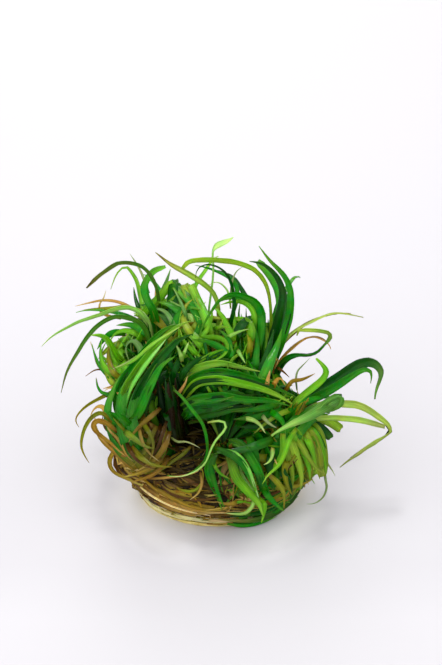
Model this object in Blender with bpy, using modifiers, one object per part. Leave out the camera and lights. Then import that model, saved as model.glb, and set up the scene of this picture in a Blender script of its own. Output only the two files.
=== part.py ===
"""A clump of Blyxa, a grassy water plant, turned out of the cup that it was grown in.

It stands on its root pad. Old leaves and stems are matted above the pad in the cup's form, short crowns
of leaf bases stand on the mat, and long narrow leaves arch out of the crowns.
Lengths are in millimetres until a mesh is made.

The leaves at the front and the sides are drawn as they are seen from the front, VIEW_TILT degrees above
the table: u runs to the right and v up from the pad's centre, and each leaf says how far back it lies.
The leaves at the back are arcs, each with a heading.
"""
import math
from collections import namedtuple

import bmesh
import bpy
import numpy as np

MM = 0.001
GAP = 0.3

VIEW_TILT = 31.0
VIEW_DISTANCE = 650.0
VIEW_CENTRE = (1.2, 60.6)

PAD_RADIUS = 31.5
PAD_HEIGHT = 3.6
PAD_STEPS = 48
FRONT_FLAT = 0.84

MAT_STEPS = 36
MAT_PROFILE = [(28.5, 3.9), (31.5, 6.5), (34.2, 11.5), (35.4, 17.0), (35.0, 22.5), (31.5, 27.0),
               (25.0, 29.5), (14.0, 31.0)]
MAT_TOP = 31.5
MAT_LUMP = 1.2

CROWN_HALF_WIDTH = 3.2
CROWN_SIDES = 14
CROWN_GROOVE = 0.1
LEAF_THICKNESS = 0.6
LEAF_STEPS = 12
LEAF_FOLD = 0.14
ROUTE_STEPS = 25

SETTLE_ROUNDS = 160
SETTLE_CLEAR = 1.9
SETTLE_STEP = 0.6
MAT_CLEAR = 1.9
FLOOR_CLEAR = 1.0

Crown = namedtuple("Crown", "name foot top half_depth")
Leaf = namedtuple("Leaf", "name tone width back twist route")
Arc = namedtuple("Arc", "name tone width lift heading lean bend length")

TONES = {
    "dark": (0.012, 0.080, 0.010),
    "green": (0.045, 0.250, 0.020),
    "bright": (0.230, 0.450, 0.050),
    "pale": (0.420, 0.600, 0.140),
    "olive": (0.190, 0.190, 0.030),
    "golden": (0.350, 0.190, 0.045),
    "mat": (0.120, 0.075, 0.020),
    "pad": (0.560, 0.520, 0.300),
}

# Each crown stands with its foot at x, y on the mat, and its top is seen at u, v, so far back.
# Each leaf starts at its crown's top or side, and the last group lies against the mat.
BUNDLES = [
    # The bundle at the front left, which leans to the back over the top, and old leaves beside it.
    (Crown("crown_front_left", (-28, -11), (-36, 25, -13), 6.0), [
        Leaf("leaf_front_left_1", "green", 4.4, (-9, -6, 6), (20, -10),
             [(-38, 26), (-40, 33), (-37, 42), (-33, 47), (-29, 53), (-24, 59), (-20, 62.5), (-14, 64)]),
        Leaf("leaf_front_left_2", "bright", 4.2, (-12, -9, 3), (15, -15),
             [(-37, 26), (-37.5, 32), (-36, 38), (-33, 43), (-30, 48), (-26, 53), (-22, 57.5),
              (-16, 63), (-11, 65)]),
        Leaf("leaf_front_left_3", "dark", 4.4, (-14, -11, 0), (10, -5),
             [(-35, 26), (-33.5, 30), (-31, 36), (-28, 42), (-24, 48), (-20, 53), (-15, 58),
              (-10, 60)]),
        Leaf("leaf_front_left_4", "green", 4.0, (-17, -16, -9), (-15, 10),
             [(-34, 26), (-31.6, 28), (-30, 32), (-28, 37), (-25, 43), (-22, 48), (-17, 51)]),
        Leaf("old_leaf_left_1", "olive", 2.5, (-10, -9, -14), (0, 40),
             [(-40.6, 23), (-43, 27.5), (-46, 29.5), (-49.6, 27.5), (-52, 24), (-53.3, 20), (-53.8, 16),
              (-52.5, 12.5), (-50.5, 9.5)]),
        Leaf("old_leaf_left_2", "golden", 3.0, (-14, -16, -21), (20, -20),
             [(-39.4, 21.5), (-43.5, 25), (-47.6, 26.5), (-49.3, 24), (-47.5, 21), (-43, 18), (-39, 14.5),
              (-36, 12)]),
    ]),
    # The bundle at the front, which sweeps to the right.
    (Crown("crown_front", (-16, -11), (-19, 37, -12), 7.0), [
        Leaf("leaf_front_1", "pale", 3.4, (-9, -9, -7), (20, -20),
             [(-18.5, 38.2), (-16.5, 41.5), (-12, 44.5), (-6, 47.5), (0, 48.8), (6, 47.5), (12, 46.3),
              (16.5, 45.5)]),
        Leaf("leaf_front_2", "green", 3.5, (-10, -12, -9), (10, 15),
             [(-14.6, 36), (-11, 41.5), (-6, 44.3), (0, 45.2), (8, 44), (15, 42), (22, 39),
              (28, 36.5), (31, 35)]),
        Leaf("leaf_front_3", "bright", 4.0, (-12, -16, -13), (-10, 15),
             [(-13.9, 34), (-11, 38.5), (-8, 41), (-3, 41.8), (2, 42), (8, 41), (14, 39.5),
              (20, 37.5), (26, 34.5), (30, 32)]),
        Leaf("leaf_front_4", "green", 4.0, (-14, -20, -16), (10, -10),
             [(-14.2, 31), (-11, 33.6), (-7, 34.6), (-3, 34.8), (2, 35.5), (8, 34.5), (16, 34),
              (22, 33.5), (28, 32)]),
        Leaf("leaf_front_5", "dark", 3.6, (-15, -22, -20), (0, 25),
             [(-13.8, 27), (-11, 29.6), (-7, 30.6), (-3, 30.8), (4, 32.5), (10, 33.5)]),
        Leaf("leaf_front_drooping", "olive", 2.5, (-18, -29, -31), (0, 40),
             [(-18, 38.8), (-14, 35.4), (-10, 30), (-7, 26.5), (-5.5, 24), (-4.5, 20), (-4, 16),
              (-4.5, 11), (-8, 7), (-12, 4.8), (-15, 4), (-20, 4.5)]),
        Leaf("old_leaf_left_4", "olive", 3.0, (-16, -28, -24), (10, -20),
             [(-21.5, 24), (-20.6, 20), (-21, 15), (-25, 10), (-31, 5.5)]),
    ]),
    # The left and its top.
    (Crown("crown_left_top", (-18, 9), (-25, 50, 12), 6.0), [
        Leaf("leaf_left_arch", "dark", 3.0, (9, 7, 0), (30, -20),
             [(-26, 51), (-27, 57), (-28.5, 62), (-31, 65), (-36, 66.7), (-40, 67.2), (-44, 65.5),
              (-48, 62.5), (-52, 58), (-55, 53), (-58, 48), (-60, 43.5), (-61.5, 37)]),
        Leaf("leaf_left_pale", "pale", 2.6, (11, 10, 2), (20, 10),
             [(-25.5, 51), (-26.5, 59), (-28, 66), (-32, 70.2), (-37, 70.4), (-42, 69), (-46, 67.8),
              (-50, 66.5), (-56, 64), (-60, 62), (-63, 60.8), (-66, 58.5), (-69, 55)]),
        Leaf("leaf_left_top", "olive", 2.8, (15, 20, 22), (10, 30),
             [(-23, 51), (-22.5, 60), (-22.8, 68), (-23.5, 76), (-25.5, 82.5), (-29, 86.3),
              (-33, 87.7), (-39, 88), (-43, 85.5), (-47.5, 82.5), (-51.5, 78)]),
        Leaf("leaf_left_bright", "bright", 3.0, (8, 4, 0), (10, 20),
             [(-28, 46.5), (-34, 47), (-38.5, 49.5), (-41, 54), (-43, 58.4), (-46, 59.5), (-50, 59.5)]),
        Leaf("leaf_left_curl", "bright", 3.4, (13, 15, 24), (0, 40),
             [(-24.5, 51), (-24.3, 60), (-25, 69), (-27.5, 73), (-29, 77), (-28.6, 81), (-26, 85),
              (-20.5, 86.5)]),
        Leaf("leaf_left_low", "olive", 2.6, (6, 2, -3), (0, 30),
             [(-26, 42), (-33, 40.6), (-40, 38), (-47, 34.5), (-52, 31.5), (-55, 28.5), (-56.2, 26),
              (-54.5, 23.5)]),
    ]),
    # The middle of the top.
    (Crown("crown_centre", (-2, 5), (-1, 52, 10), 5.0), [
        Leaf("leaf_top_middle", "olive", 2.5, (8, 20, 27), (20, -20),
             [(-2, 53), (0, 62), (0.5, 69), (-1, 75.5), (-5, 79.4), (-10, 82.6), (-14, 85), (-18, 87),
              (-21.5, 89.5), (-24.5, 92)]),
        Leaf("leaf_top_hook", "olive", 2.2, (10, 16, 18), (0, 30),
             [(0.5, 53), (4, 62), (6.7, 70), (6, 77), (5, 80.5), (3.5, 83.5), (0.5, 86), (-3, 87.3),
              (-6.5, 87), (-8.5, 85), (-8.8, 82)]),
        Leaf("leaf_top_kinked", "pale", 2.2, (12, 22, 28), (0, 30),
             [(-3, 53), (-4, 66), (-2.5, 78), (-1.6, 86), (-2.2, 91), (-1.8, 94), (1, 95.6),
              (4, 96.6), (6, 98)]),
    ]),
    # The bundle at the right of the top.
    (Crown("crown_right_top", (14, 8), (18, 43.5, 9), 6.0), [
        Leaf("leaf_right_top_1", "green", 3.6, (8, 14, 2), (10, 20),
             [(16.5, 44.6), (16.3, 54), (17, 62), (17.3, 68), (15, 72.5), (10, 75.3), (5, 75.5),
              (0, 73), (-3, 69), (-5, 64), (-7, 60), (-8, 57)]),
        Leaf("leaf_right_top_2", "dark", 4.0, (9, 17, 27), (15, 10),
             [(18.5, 44.6), (20.5, 52), (21.5, 58), (23.5, 65), (25, 71), (25.6, 76), (24.3, 80.5),
              (21, 85), (17, 88), (12.5, 88.5)]),
        Leaf("leaf_right_top_3", "green", 3.6, (6, 14, 25), (30, 0),
             [(19.5, 44.6), (22.5, 51), (25, 57), (27.5, 65), (28.8, 72), (28.4, 78), (25.4, 84),
              (20, 89), (16, 94.5)]),
        Leaf("leaf_right_top_4", "bright", 2.7, (12, 21, 23), (0, 30),
             [(17.5, 44.6), (20, 56), (21, 66), (20.6, 71), (20, 75.5), (18.6, 80), (16, 84),
              (13, 86.3), (9, 87.8), (3, 88.5), (-3, 88.9), (-9, 89.4), (-12.5, 88.2), (-14, 85.5)]),
        Leaf("leaf_right_kinked", "dark", 3.0, (6, 3, 8), (0, 30),
             [(22.2, 41.5), (24, 47), (27, 50.5), (31, 52), (35, 51.5), (38.5, 52.3), (41.5, 55.3),
              (43.6, 57.8), (44.6, 59.6), (43, 60.6), (39, 61.3), (33, 61.8), (31, 61), (31, 59.5)]),
    ]),
    # The right.
    (Crown("crown_right", (24, -6), (29, 29.5, -8), 7.0), [
        Leaf("leaf_right_small", "bright", 2.6, (-11, -8, -4), (10, 10),
             [(28.5, 30.6), (32, 35), (37, 38.8), (41.2, 42.2), (42.8, 45.2), (41.5, 47.6),
              (38.5, 50.5)]),
        Leaf("leaf_right_hook", "dark", 3.6, (-3, 0, 3), (20, -10),
             [(29, 31.2), (35, 35.8), (42, 39.4), (48, 43.3), (53, 46.8), (58, 49.2), (61.5, 48.7),
              (64.3, 45.5), (63.8, 41.5), (62.2, 38), (61.5, 34.5)]),
        Leaf("leaf_right_blade", "green", 3.6, (-6, -4, -2), (-10, 20),
             [(31, 31), (35, 33.6), (41, 36.3), (47, 39.8), (52, 43.2), (56.6, 46), (59.8, 46),
              (60.5, 43), (60.2, 40.5)]),
        Leaf("leaf_right_long", "green", 3.0, (-8, -8, -12), (10, 30),
             [(33.0, 29), (38, 31.8), (44, 33.1), (50, 32.5), (55, 32.4), (60, 30), (64, 26.8),
              (67, 24.2), (68.6, 22.3), (66, 20), (62, 17.3), (56, 14), (51, 10.5), (48, 7.5)]),
        Leaf("leaf_right_yellow", "bright", 2.8, (-9, -12, -11), (0, 10),
             [(31.8, 26), (38, 26.8), (44, 27.2), (50, 26.9), (56, 26.3), (61, 25), (65.5, 23.6)]),
        Leaf("leaf_right_folded", "pale", 3.4, (-13, -16, -25), (0, 25),
             [(32.4, 27.6), (37, 29.5), (41.5, 29.6), (46.5, 30.5), (49.3, 33.5), (48.3, 36),
              (44.5, 33.5), (40, 30.5), (36, 28), (32, 26.5), (28, 24.5), (24, 22.5), (21, 20)]),
        Leaf("leaf_right_hanging", "olive", 3.0, (-6, -8, -6), (10, 40),
             [(30.0, 24.2), (35.5, 23), (39, 20), (41, 15), (42, 10), (42, 3.5)]),
    ]),
    # The leaves that hang over the front of the mat and the pad's rim.
    (Crown("crown_low_front", (2, -18), (2.5, 16, -23), 5.0), [
        Leaf("leaf_low_front_1", "green", 3.4, (-26, -33, -24), (10, -20),
             [(4, 17.6), (7.4, 17.4), (10.8, 14.6), (13.2, 11), (15.5, 7), (17, 3), (18.3, -0.5),
              (20.5, -4.5), (25, -9.2)]),
        Leaf("leaf_low_front_2", "pale", 3.0, (-26, -32, -29), (-10, 20),
             [(6.8, 13), (7.2, 10), (7.6, 6.5), (9.8, 2.6), (13, -1), (16, -4.5)]),
        Leaf("leaf_low_front_3", "green", 2.6, (-25, -30, -29), (10, 10),
             [(-1.6, 13), (-3.6, 10.5), (-4.5, 7), (-3.6, 3.5), (-2, 0), (0, -4), (1.5, -9)]),
    ]),
    # Old leaves and a leaf that are wrapped round the mat and the pad.
    (None, [
        Leaf("old_leaf_left_3", "golden", 2.6, (-13, -13, -22), (0, 30),
             [(-39, 17), (-41.5, 13), (-42.8, 10), (-42, 7), (-40, 5), (-36, 3.5), (-31, 1), (-27, 0)]),
        Leaf("leaf_low_right", "bright", 3.0, (-21, -28, -28), (0, 25),
             [(25.5, 21), (25.6, 18), (26, 15), (25, 11), (22, 7.5), (19, 4.5), (16.5, 3)]),
        Leaf("leaf_round_rim", "dark", 3.0, (-28, -25, -9), (0, 0),
             [(0, -12.6), (6, -13.3), (12, -13.3), (18, -12.2), (24, -9.3), (28.6, -5.3), (32, -1)]),
    ]),
]

ARC_BUNDLES = [
    (Crown("crown_back_left", (-13, 20), (-16, 48, 25), 4.0), [
        Arc("leaf_back_left_1", "green", 3.8, 0.9, 112, 12, 118, 50),
        Arc("leaf_back_left_2", "green", 3.6, 0.9, 165, 25, 98, 48),
        Arc("leaf_back_left_3", "bright", 3.6, 0.9, 60, 2, 95, 50),
        Arc("old_leaf_back_1", "golden", 3.2, -5.0, 135, 40, 125, 38),
    ]),
    (Crown("crown_back_right", (15, 20), (18.5, 48, 25), 4.0), [
        Arc("leaf_back_right_1", "green", 3.8, 0.9, 68, 14, 118, 50),
        Arc("leaf_back_right_2", "olive", 3.4, 0.9, 15, 28, 95, 46),
        Arc("leaf_back_right_3", "dark", 3.8, 0.9, 122, 4, 128, 54),
        Arc("old_leaf_back_2", "golden", 3.0, -5.0, 40, 40, 125, 38),
    ]),
]

TILT = math.radians(VIEW_TILT)
RIGHT = np.array((1.0, 0.0, 0.0))
UP = np.array((0.0, math.sin(TILT), math.cos(TILT)))
TOWARDS = np.array((0.0, -math.cos(TILT), math.sin(TILT)))
VIEWER = RIGHT * VIEW_CENTRE[0] + UP * VIEW_CENTRE[1] + TOWARDS * VIEW_DISTANCE


def from_view(uv, depth):
    """The places of points seen at uv, depth mm nearer to the viewer than the pad's centre."""
    drawn = uv[..., :1] * RIGHT + uv[..., 1:] * UP
    return drawn + (VIEWER - drawn) * (depth / VIEW_DISTANCE)[..., None]


def to_view(places):
    """The uv and depth at which places are seen."""
    depth = places @ TOWARDS
    share = (depth / VIEW_DISTANCE)[..., None]
    drawn = (places - VIEWER * share) / (1 - share)
    return np.stack((drawn @ RIGHT, drawn @ UP), axis=-1), depth


def depth_at(uv, back):
    """The depth of points seen at uv that lie back mm behind the pad's centre."""
    drawn_back = uv[..., 1] * UP[1]
    return VIEW_DISTANCE * (back - drawn_back) / (VIEWER[1] - drawn_back)


def evenly(points, count):
    """The same route with count points, spaced evenly along it."""
    lengths = np.linalg.norm(np.diff(points, axis=0), axis=1)
    walked = np.concatenate(([0.0], np.cumsum(lengths)))
    wanted = np.linspace(0.0, walked[-1], count)
    return np.stack([np.interp(wanted, walked, column) for column in points.T], axis=-1)


def rounded(points, passes=3):
    """A route whose corners are cut, with its ends kept."""
    for _ in range(passes):
        near = points[:-1] * 0.75 + points[1:] * 0.25
        far = points[:-1] * 0.25 + points[1:] * 0.75
        cut = np.stack((near, far), axis=1).reshape(-1, points.shape[1])
        points = np.vstack((points[:1], cut, points[-1:]))
    return points


def drawn_route(leaf):
    """uv and depth along a leaf that is drawn as it is seen."""
    uv = evenly(rounded(np.array(leaf.route, float)), ROUTE_STEPS)
    along = np.linspace(0.0, 1.0, ROUTE_STEPS)
    back = np.interp(along, (0.0, 0.5, 1.0), leaf.back)
    return uv, depth_at(uv, back)


def crown_top(crown):
    """The middle of a crown's top."""
    seen = np.array(crown.top, float)
    return from_view(seen[:2], depth_at(seen[:2], seen[2]))


def crown_foot(crown):
    """The middle of a crown's foot, just clear of the mat."""
    x, y = crown.foot
    spread = max(CROWN_HALF_WIDTH, crown.half_depth * 0.7)
    radius = turned_radius(np.array((x, y)))
    return np.array((x, y, mat_height(radius - spread) + 2 * GAP))


def arc_route(arc, crown):
    """uv and depth along a leaf that rises from its crown and bends over towards its heading."""
    along = np.linspace(0.0, 1.0, ROUTE_STEPS)
    angle = np.radians(arc.lean + arc.bend * along ** 1.2)
    step = arc.length / (ROUTE_STEPS - 1)
    out = np.concatenate(([0.0], np.cumsum(np.sin(angle[:-1])))) * step
    rise = np.concatenate(([0.0], np.cumsum(np.cos(angle[:-1])))) * step
    heading = math.radians(arc.heading)
    away = CROWN_HALF_WIDTH * (0.6 if arc.lift > 0 else 1.5)
    top = crown_top(crown)
    places = np.array((0.0, 0.0, arc.lift)) + top + np.stack(
        ((out + away) * math.cos(heading), (out + away) * math.sin(heading), rise), axis=-1)
    return to_view(places)


def turned_radius(places):
    """How far places are from the middle of the pad and the mat, as if their front weren't flattened."""
    back = places[..., 1]
    return np.hypot(places[..., 0], np.where(back < 0, back / FRONT_FLAT, back))


def mat_height(radius):
    """The height of the mat's top, so far from its middle."""
    radii, heights = np.array([(0.0, MAT_TOP)] + MAT_PROFILE[:3:-1]).T
    return np.interp(radius, radii, heights)


def body_depth(places):
    """How deep each place is inside the pad and the mat with their margin; negative outside."""
    radius = turned_radius(places)
    height = places[..., 2]
    outline = [(PAD_RADIUS, 0.0), (PAD_RADIUS, PAD_HEIGHT)] + MAT_PROFILE
    radii, heights = np.array(outline).T
    side = np.interp(height, heights, radii) + MAT_CLEAR - radius
    return np.minimum(side, mat_height(radius) + MAT_CLEAR - height)


def settle(uv, depth, width, spread, home, crowns):
    """Move the leaves apart along the line of sight, so that each keeps the outline that is seen.

    spread is how much of its width each leaf turns towards the viewer, and home is the number of its
    crown, or -1 for a leaf that has none.
    """
    count, steps = depth.shape
    owner = np.repeat(np.arange(count), steps)
    flat_uv = uv.reshape(-1, 2)
    half = np.repeat(width / 2, steps)
    turned = half * np.repeat(spread, steps)
    crossing = np.linalg.norm(flat_uv[:, None] - flat_uv[None], axis=-1) < half[:, None] + half + GAP
    crossing &= owner[:, None] != owner
    needed = SETTLE_CLEAR + turned[:, None] + turned
    order = np.sign(owner[:, None] - owner)

    share = np.linspace(0.0, 1.0, 8)[:, None]
    posts = [crown_foot(crown) * (1 - share) + crown_top(crown) * share for crown in crowns]
    post_uv, post_depth = to_view(np.concatenate(posts))
    post_owner = np.repeat(np.arange(len(crowns)), len(share))
    post_thick = np.repeat([crown.half_depth for crown in crowns], len(share))
    blocked = (np.linalg.norm(flat_uv[:, None] - post_uv, axis=-1)
               < half[:, None] + CROWN_HALF_WIDTH + GAP)
    early = np.tile(np.arange(steps) < steps // 4, count)
    blocked &= ~((home[owner][:, None] == post_owner) & early[:, None])
    post_needed = post_thick + SETTLE_CLEAR / 2 + turned[:, None]

    rooted = home >= 0
    top_depth = to_view(np.array([crown_top(crown) for crown in crowns]))[1][home]
    seat = np.array([crown.half_depth - 1.0 for crown in crowns])[home]
    first = depth.copy()
    for _ in range(SETTLE_ROUNDS):
        flat = depth.reshape(-1)
        apart = flat[:, None] - flat
        missing = np.where(crossing, np.maximum(needed - np.abs(apart), 0.0), 0.0)
        sense = np.where(np.abs(apart) < 0.05, order, np.sign(apart))
        push = np.where(sense > 0, missing, 0.0).max(axis=1) / 2
        push -= np.where(sense < 0, missing, 0.0).max(axis=1) / 2

        from_post = flat[:, None] - post_depth
        short = np.where(blocked, np.maximum(post_needed - np.abs(from_post), 0.0), 0.0)
        push += np.where(from_post > 0, short, 0.0).max(axis=1)
        push -= np.where(from_post <= 0, short, 0.0).max(axis=1)
        push = push.reshape(count, steps)

        places = from_view(uv, depth)
        sunk = np.maximum(body_depth(places), 0.0)
        push += np.where(places[..., 1] > 0, -sunk, sunk)
        push += np.maximum(FLOOR_CLEAR - places[..., 2], 0.0)
        moved = depth - first + np.clip(push, -2.0, 2.0) * SETTLE_STEP
        padded = np.pad(moved, ((0, 0), (1, 1)), mode="edge")
        depth = first + padded[:, :-2] * 0.25 + padded[:, 1:-1] * 0.5 + padded[:, 2:] * 0.25
        seated = np.clip(depth[:, 0], top_depth - seat, top_depth + seat)
        depth[:, 0] = np.where(rooted, seated, depth[:, 0])
    return depth


def unit(vectors):
    return vectors / np.maximum(np.linalg.norm(vectors, axis=-1, keepdims=True), 1e-9)


def across(places, face, twist):
    """The direction of a leaf's width at each place, and of its upper face.

    The face starts as near as it can to the direction given, is carried along without turning about the
    leaf, and is then turned by the twist, in degrees at the foot and at the tip.
    """
    along = unit(np.gradient(places, axis=0))
    upper = []
    for direction in along:
        face = unit(face - direction * (face @ direction))
        upper.append(face)
    upper = np.array(upper)
    side = np.cross(along, upper)
    turn = np.radians(np.linspace(*twist, len(places)))[:, None]
    return side * np.cos(turn) + upper * np.sin(turn), upper * np.cos(turn) - side * np.sin(turn)


def leaf_width(along):
    """A leaf's width along its length: narrower at its foot, and tapering to a blunt tip."""
    return (0.62 + 0.38 * min(along / 0.25, 1.0)) * (1.0 - 0.75 * along ** 3)


def add_object(name, mesh, tone, collection):
    """One sub-part with a material of its own."""
    obj = bpy.data.objects.new(name, mesh)
    collection.objects.link(obj)
    material = bpy.data.materials.new(name)
    material.use_nodes = True
    shader = material.node_tree.nodes["Principled BSDF"]
    shader.inputs["Base Color"].default_value = (*TONES[tone], 1.0)
    shader.inputs["Roughness"].default_value = 0.4 if tone in ("dark", "green", "bright", "pale") else 0.55
    shader.inputs["Metallic"].default_value = 0.0
    mesh.materials.append(material)
    return obj


def make_leaf(leaf, places, face, twist, collection):
    """A strip that follows its route, folded a little along its midrib, with its thickness."""
    side, upper = across(places, face, twist)
    grid = bmesh.new()
    bmesh.ops.create_grid(grid, x_segments=LEAF_STEPS, y_segments=2, size=1.0)
    for vert in grid.verts:
        along = round((vert.co.x + 1.0) / 2.0 * LEAF_STEPS) / LEAF_STEPS
        step = along * (len(places) - 1)
        low = min(int(step), len(places) - 2)
        rest = step - low
        middle, sideways, out = (values[low] * (1.0 - rest) + values[low + 1] * rest
                                 for values in (places, side, upper))
        half = leaf.width / 2 * leaf_width(along)
        fold = LEAF_FOLD * half * (1.0 - abs(vert.co.y))
        vert.co = (middle + sideways * (vert.co.y * half) - out * fold) * MM
    mesh = bpy.data.meshes.new(leaf.name)
    grid.to_mesh(mesh)
    grid.free()
    mesh.shade_smooth()
    strip = add_object(leaf.name, mesh, leaf.tone, collection)
    wall = strip.modifiers.new("Thickness", "SOLIDIFY")
    wall.thickness = LEAF_THICKNESS * MM
    wall.offset = 0.0


def mat_lump(angle, height):
    """How the matted stems and old leaves stand out and sink in, slanting round the mat."""
    return (0.6 * math.sin(9 * angle + 0.32 * height) + 0.4 * math.sin(14 * angle - 0.45 * height + 1.3)
            + 0.5 * math.sin(5 * angle + 0.15 * height + 4.0))


def make_turned(name, profile, steps, tone, lump, collection):
    """A closed turned body, flat below, whose front half is flattened a little."""
    body = bmesh.new()
    points = [body.verts.new((radius, 0.0, height)) for radius, height in profile]
    for start, end in zip(points, points[1:]):
        body.edges.new((start, end))
    bmesh.ops.spin(body, geom=body.verts[:] + body.edges[:], cent=(0.0, 0.0, 0.0), axis=(0.0, 0.0, 1.0),
                   angle=2 * math.pi, steps=steps, use_merge=True, use_duplicate=False)
    bmesh.ops.remove_doubles(body, verts=body.verts, dist=0.001)
    lowest = min(height for _, height in profile)
    for vert in body.verts:
        if vert.co.z > lowest + 0.1 and math.hypot(vert.co.x, vert.co.y) > 0.1:
            angle = math.atan2(vert.co.y, vert.co.x)
            swell = 1.0 + lump * mat_lump(angle, vert.co.z) / PAD_RADIUS
            vert.co.x *= swell
            vert.co.y *= swell
        if vert.co.y < 0.0:
            vert.co.y *= FRONT_FLAT
        vert.co *= MM
    bmesh.ops.recalc_face_normals(body, faces=body.faces)
    mesh = bpy.data.meshes.new(name)
    body.to_mesh(mesh)
    body.free()
    mesh.shade_smooth()
    add_object(name, mesh, tone, collection)


def make_pad(collection):
    """The root pad: a disc with a rounded rim, flat below and above."""
    profile = [(0.0, PAD_HEIGHT), (PAD_RADIUS - 1.6, PAD_HEIGHT), (PAD_RADIUS - 0.4, PAD_HEIGHT - 0.6),
               (PAD_RADIUS, PAD_HEIGHT - 1.5), (PAD_RADIUS - 0.2, 1.0), (PAD_RADIUS - 1.4, 0.0), (0.0, 0.0)]
    make_turned("root_pad", profile, PAD_STEPS, "pad", 0.0, collection)


def make_mat(collection):
    """The old leaf mat: a lumpy body that widens as the cup did."""
    profile = [(0.0, MAT_PROFILE[0][1])] + MAT_PROFILE + [(0.0, MAT_TOP)]
    make_turned("old_leaf_mat", profile, MAT_STEPS, "mat", MAT_LUMP, collection)


def make_crown(crown, collection):
    """A crown: a grooved column of leaf bases, oval in section, that leans as its leaves do."""
    column = bmesh.new()
    bmesh.ops.create_cone(column, cap_ends=True, segments=CROWN_SIDES, radius1=1.0, radius2=1.0,
                          depth=1.0)
    foot, top = crown_foot(crown), crown_top(crown)
    for vert in column.verts:
        angle = math.atan2(vert.co.y, vert.co.x)
        ridge = 1.0 + CROWN_GROOVE * math.cos(angle * CROWN_SIDES / 2)
        if vert.co.z > 0.0:
            centre, deep = top, -TOWARDS * crown.half_depth
        else:
            centre, deep = foot, np.array((0.0, 0.7 * crown.half_depth, 0.0))
        wide = RIGHT * CROWN_HALF_WIDTH
        vert.co = (centre + (wide * math.cos(angle) + deep * math.sin(angle)) * ridge) * MM
    mesh = bpy.data.meshes.new(crown.name)
    column.to_mesh(mesh)
    column.free()
    add_object(crown.name, mesh, "golden", collection)


def main():
    for obj in list(bpy.data.objects):
        bpy.data.objects.remove(obj, do_unlink=True)
    collection = bpy.data.collections.new("blyxa_clump")
    bpy.context.scene.collection.children.link(collection)

    make_pad(collection)
    make_mat(collection)
    crowns = [crown for crown, _ in BUNDLES + ARC_BUNDLES if crown]
    for crown in crowns:
        make_crown(crown, collection)

    leaves, routes, faces, home = [], [], [], []
    for crown, bundle in BUNDLES:
        for leaf in bundle:
            leaves.append(leaf)
            routes.append(drawn_route(leaf))
            faces.append((TOWARDS, leaf.twist))
            home.append(crowns.index(crown) if crown else -1)
    for crown, bundle in ARC_BUNDLES:
        for arc in bundle:
            leaves.append(arc)
            routes.append(arc_route(arc, crown))
            heading = math.radians(arc.heading)
            faces.append((np.array((-math.cos(heading), -math.sin(heading), 0.0)), (0.0, 0.0)))
            home.append(crowns.index(crown))

    uv = np.array([route[0] for route in routes])
    depth = np.array([route[1] for route in routes])
    width = np.array([leaf.width for leaf in leaves])
    spread = np.array([math.sin(math.radians(max(map(abs, twist)))) if face is TOWARDS else 0.8
                       for face, twist in faces])
    depth = settle(uv, depth, width, spread, np.array(home), crowns)
    for leaf, seen, near, (face, twist) in zip(leaves, uv, depth, faces):
        make_leaf(leaf, from_view(seen, near), face, twist, collection)


main()
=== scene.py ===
"""The looks of a clump of Blyxa, a grassy water plant, turned out of the cup that it was grown in.

Lengths are in millimetres until a mesh is made. Leaves at the front and the sides are drawn as they are
seen from the front, VIEW_TILT degrees above the table: u runs to the right and v up from the pad's centre.
"""
import math
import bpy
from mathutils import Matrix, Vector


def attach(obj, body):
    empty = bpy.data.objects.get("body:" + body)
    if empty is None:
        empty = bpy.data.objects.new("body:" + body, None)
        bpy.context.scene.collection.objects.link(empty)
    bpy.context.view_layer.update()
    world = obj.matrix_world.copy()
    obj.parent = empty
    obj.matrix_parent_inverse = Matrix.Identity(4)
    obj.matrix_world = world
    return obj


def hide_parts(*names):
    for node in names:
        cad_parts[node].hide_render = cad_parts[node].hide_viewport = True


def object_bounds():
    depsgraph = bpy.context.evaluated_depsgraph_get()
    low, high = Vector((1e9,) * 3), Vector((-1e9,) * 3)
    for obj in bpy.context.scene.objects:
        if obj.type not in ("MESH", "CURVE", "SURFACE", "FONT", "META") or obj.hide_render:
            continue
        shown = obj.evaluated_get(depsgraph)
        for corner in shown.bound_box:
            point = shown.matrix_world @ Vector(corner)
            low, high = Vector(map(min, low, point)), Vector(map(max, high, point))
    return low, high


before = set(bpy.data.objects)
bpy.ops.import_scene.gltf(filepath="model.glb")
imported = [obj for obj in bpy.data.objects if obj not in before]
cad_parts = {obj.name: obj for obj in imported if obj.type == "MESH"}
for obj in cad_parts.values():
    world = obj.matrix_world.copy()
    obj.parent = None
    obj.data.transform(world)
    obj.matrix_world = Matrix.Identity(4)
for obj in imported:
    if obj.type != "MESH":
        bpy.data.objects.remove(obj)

import zlib
from collections import namedtuple

import bmesh
import bpy
import numpy as np
from mathutils import Vector

CAD_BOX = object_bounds()

MM = 0.001
# The gap that is kept between the solids.
GAP = 0.3

# The camera: its tilt in degrees, how far it stands off, and the u and v of the picture's middle.
VIEW_TILT = 31.0
VIEW_DISTANCE = 650.0
VIEW_CENTRE = (1.2, 60.6)
# The picture's scale, its size in pixels, and the width of the camera's sensor.
PIXELS_PER_MM = 2.55
PICTURE = (442, 665)
SENSOR = 36.0

# The pad and the mat, both round and flattened at the front. The mat's outline is radius and height.
PAD_RADIUS = 31.5
PAD_HEIGHT = 3.6
FRONT_FLAT = 0.84
MAT_PROFILE = [(28.5, 3.9), (31.5, 6.5), (34.2, 11.5), (35.4, 17.0), (35.0, 22.5), (31.5, 27.0),
               (25.0, 29.5), (14.0, 31.0)]
MAT_TOP = 31.5
# Half the width of a crown, and the points along a leaf's route.
CROWN_HALF_WIDTH = 3.2
ROUTE_STEPS = 25

# How often the leaves are moved apart, how far apart they come to lie, how much of a push a round takes,
# and the most that it takes.
SETTLE_ROUNDS = 160
SETTLE_CLEAR = 1.9
SETTLE_STEP = 0.6
SETTLE_MOST = 2.0
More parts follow.
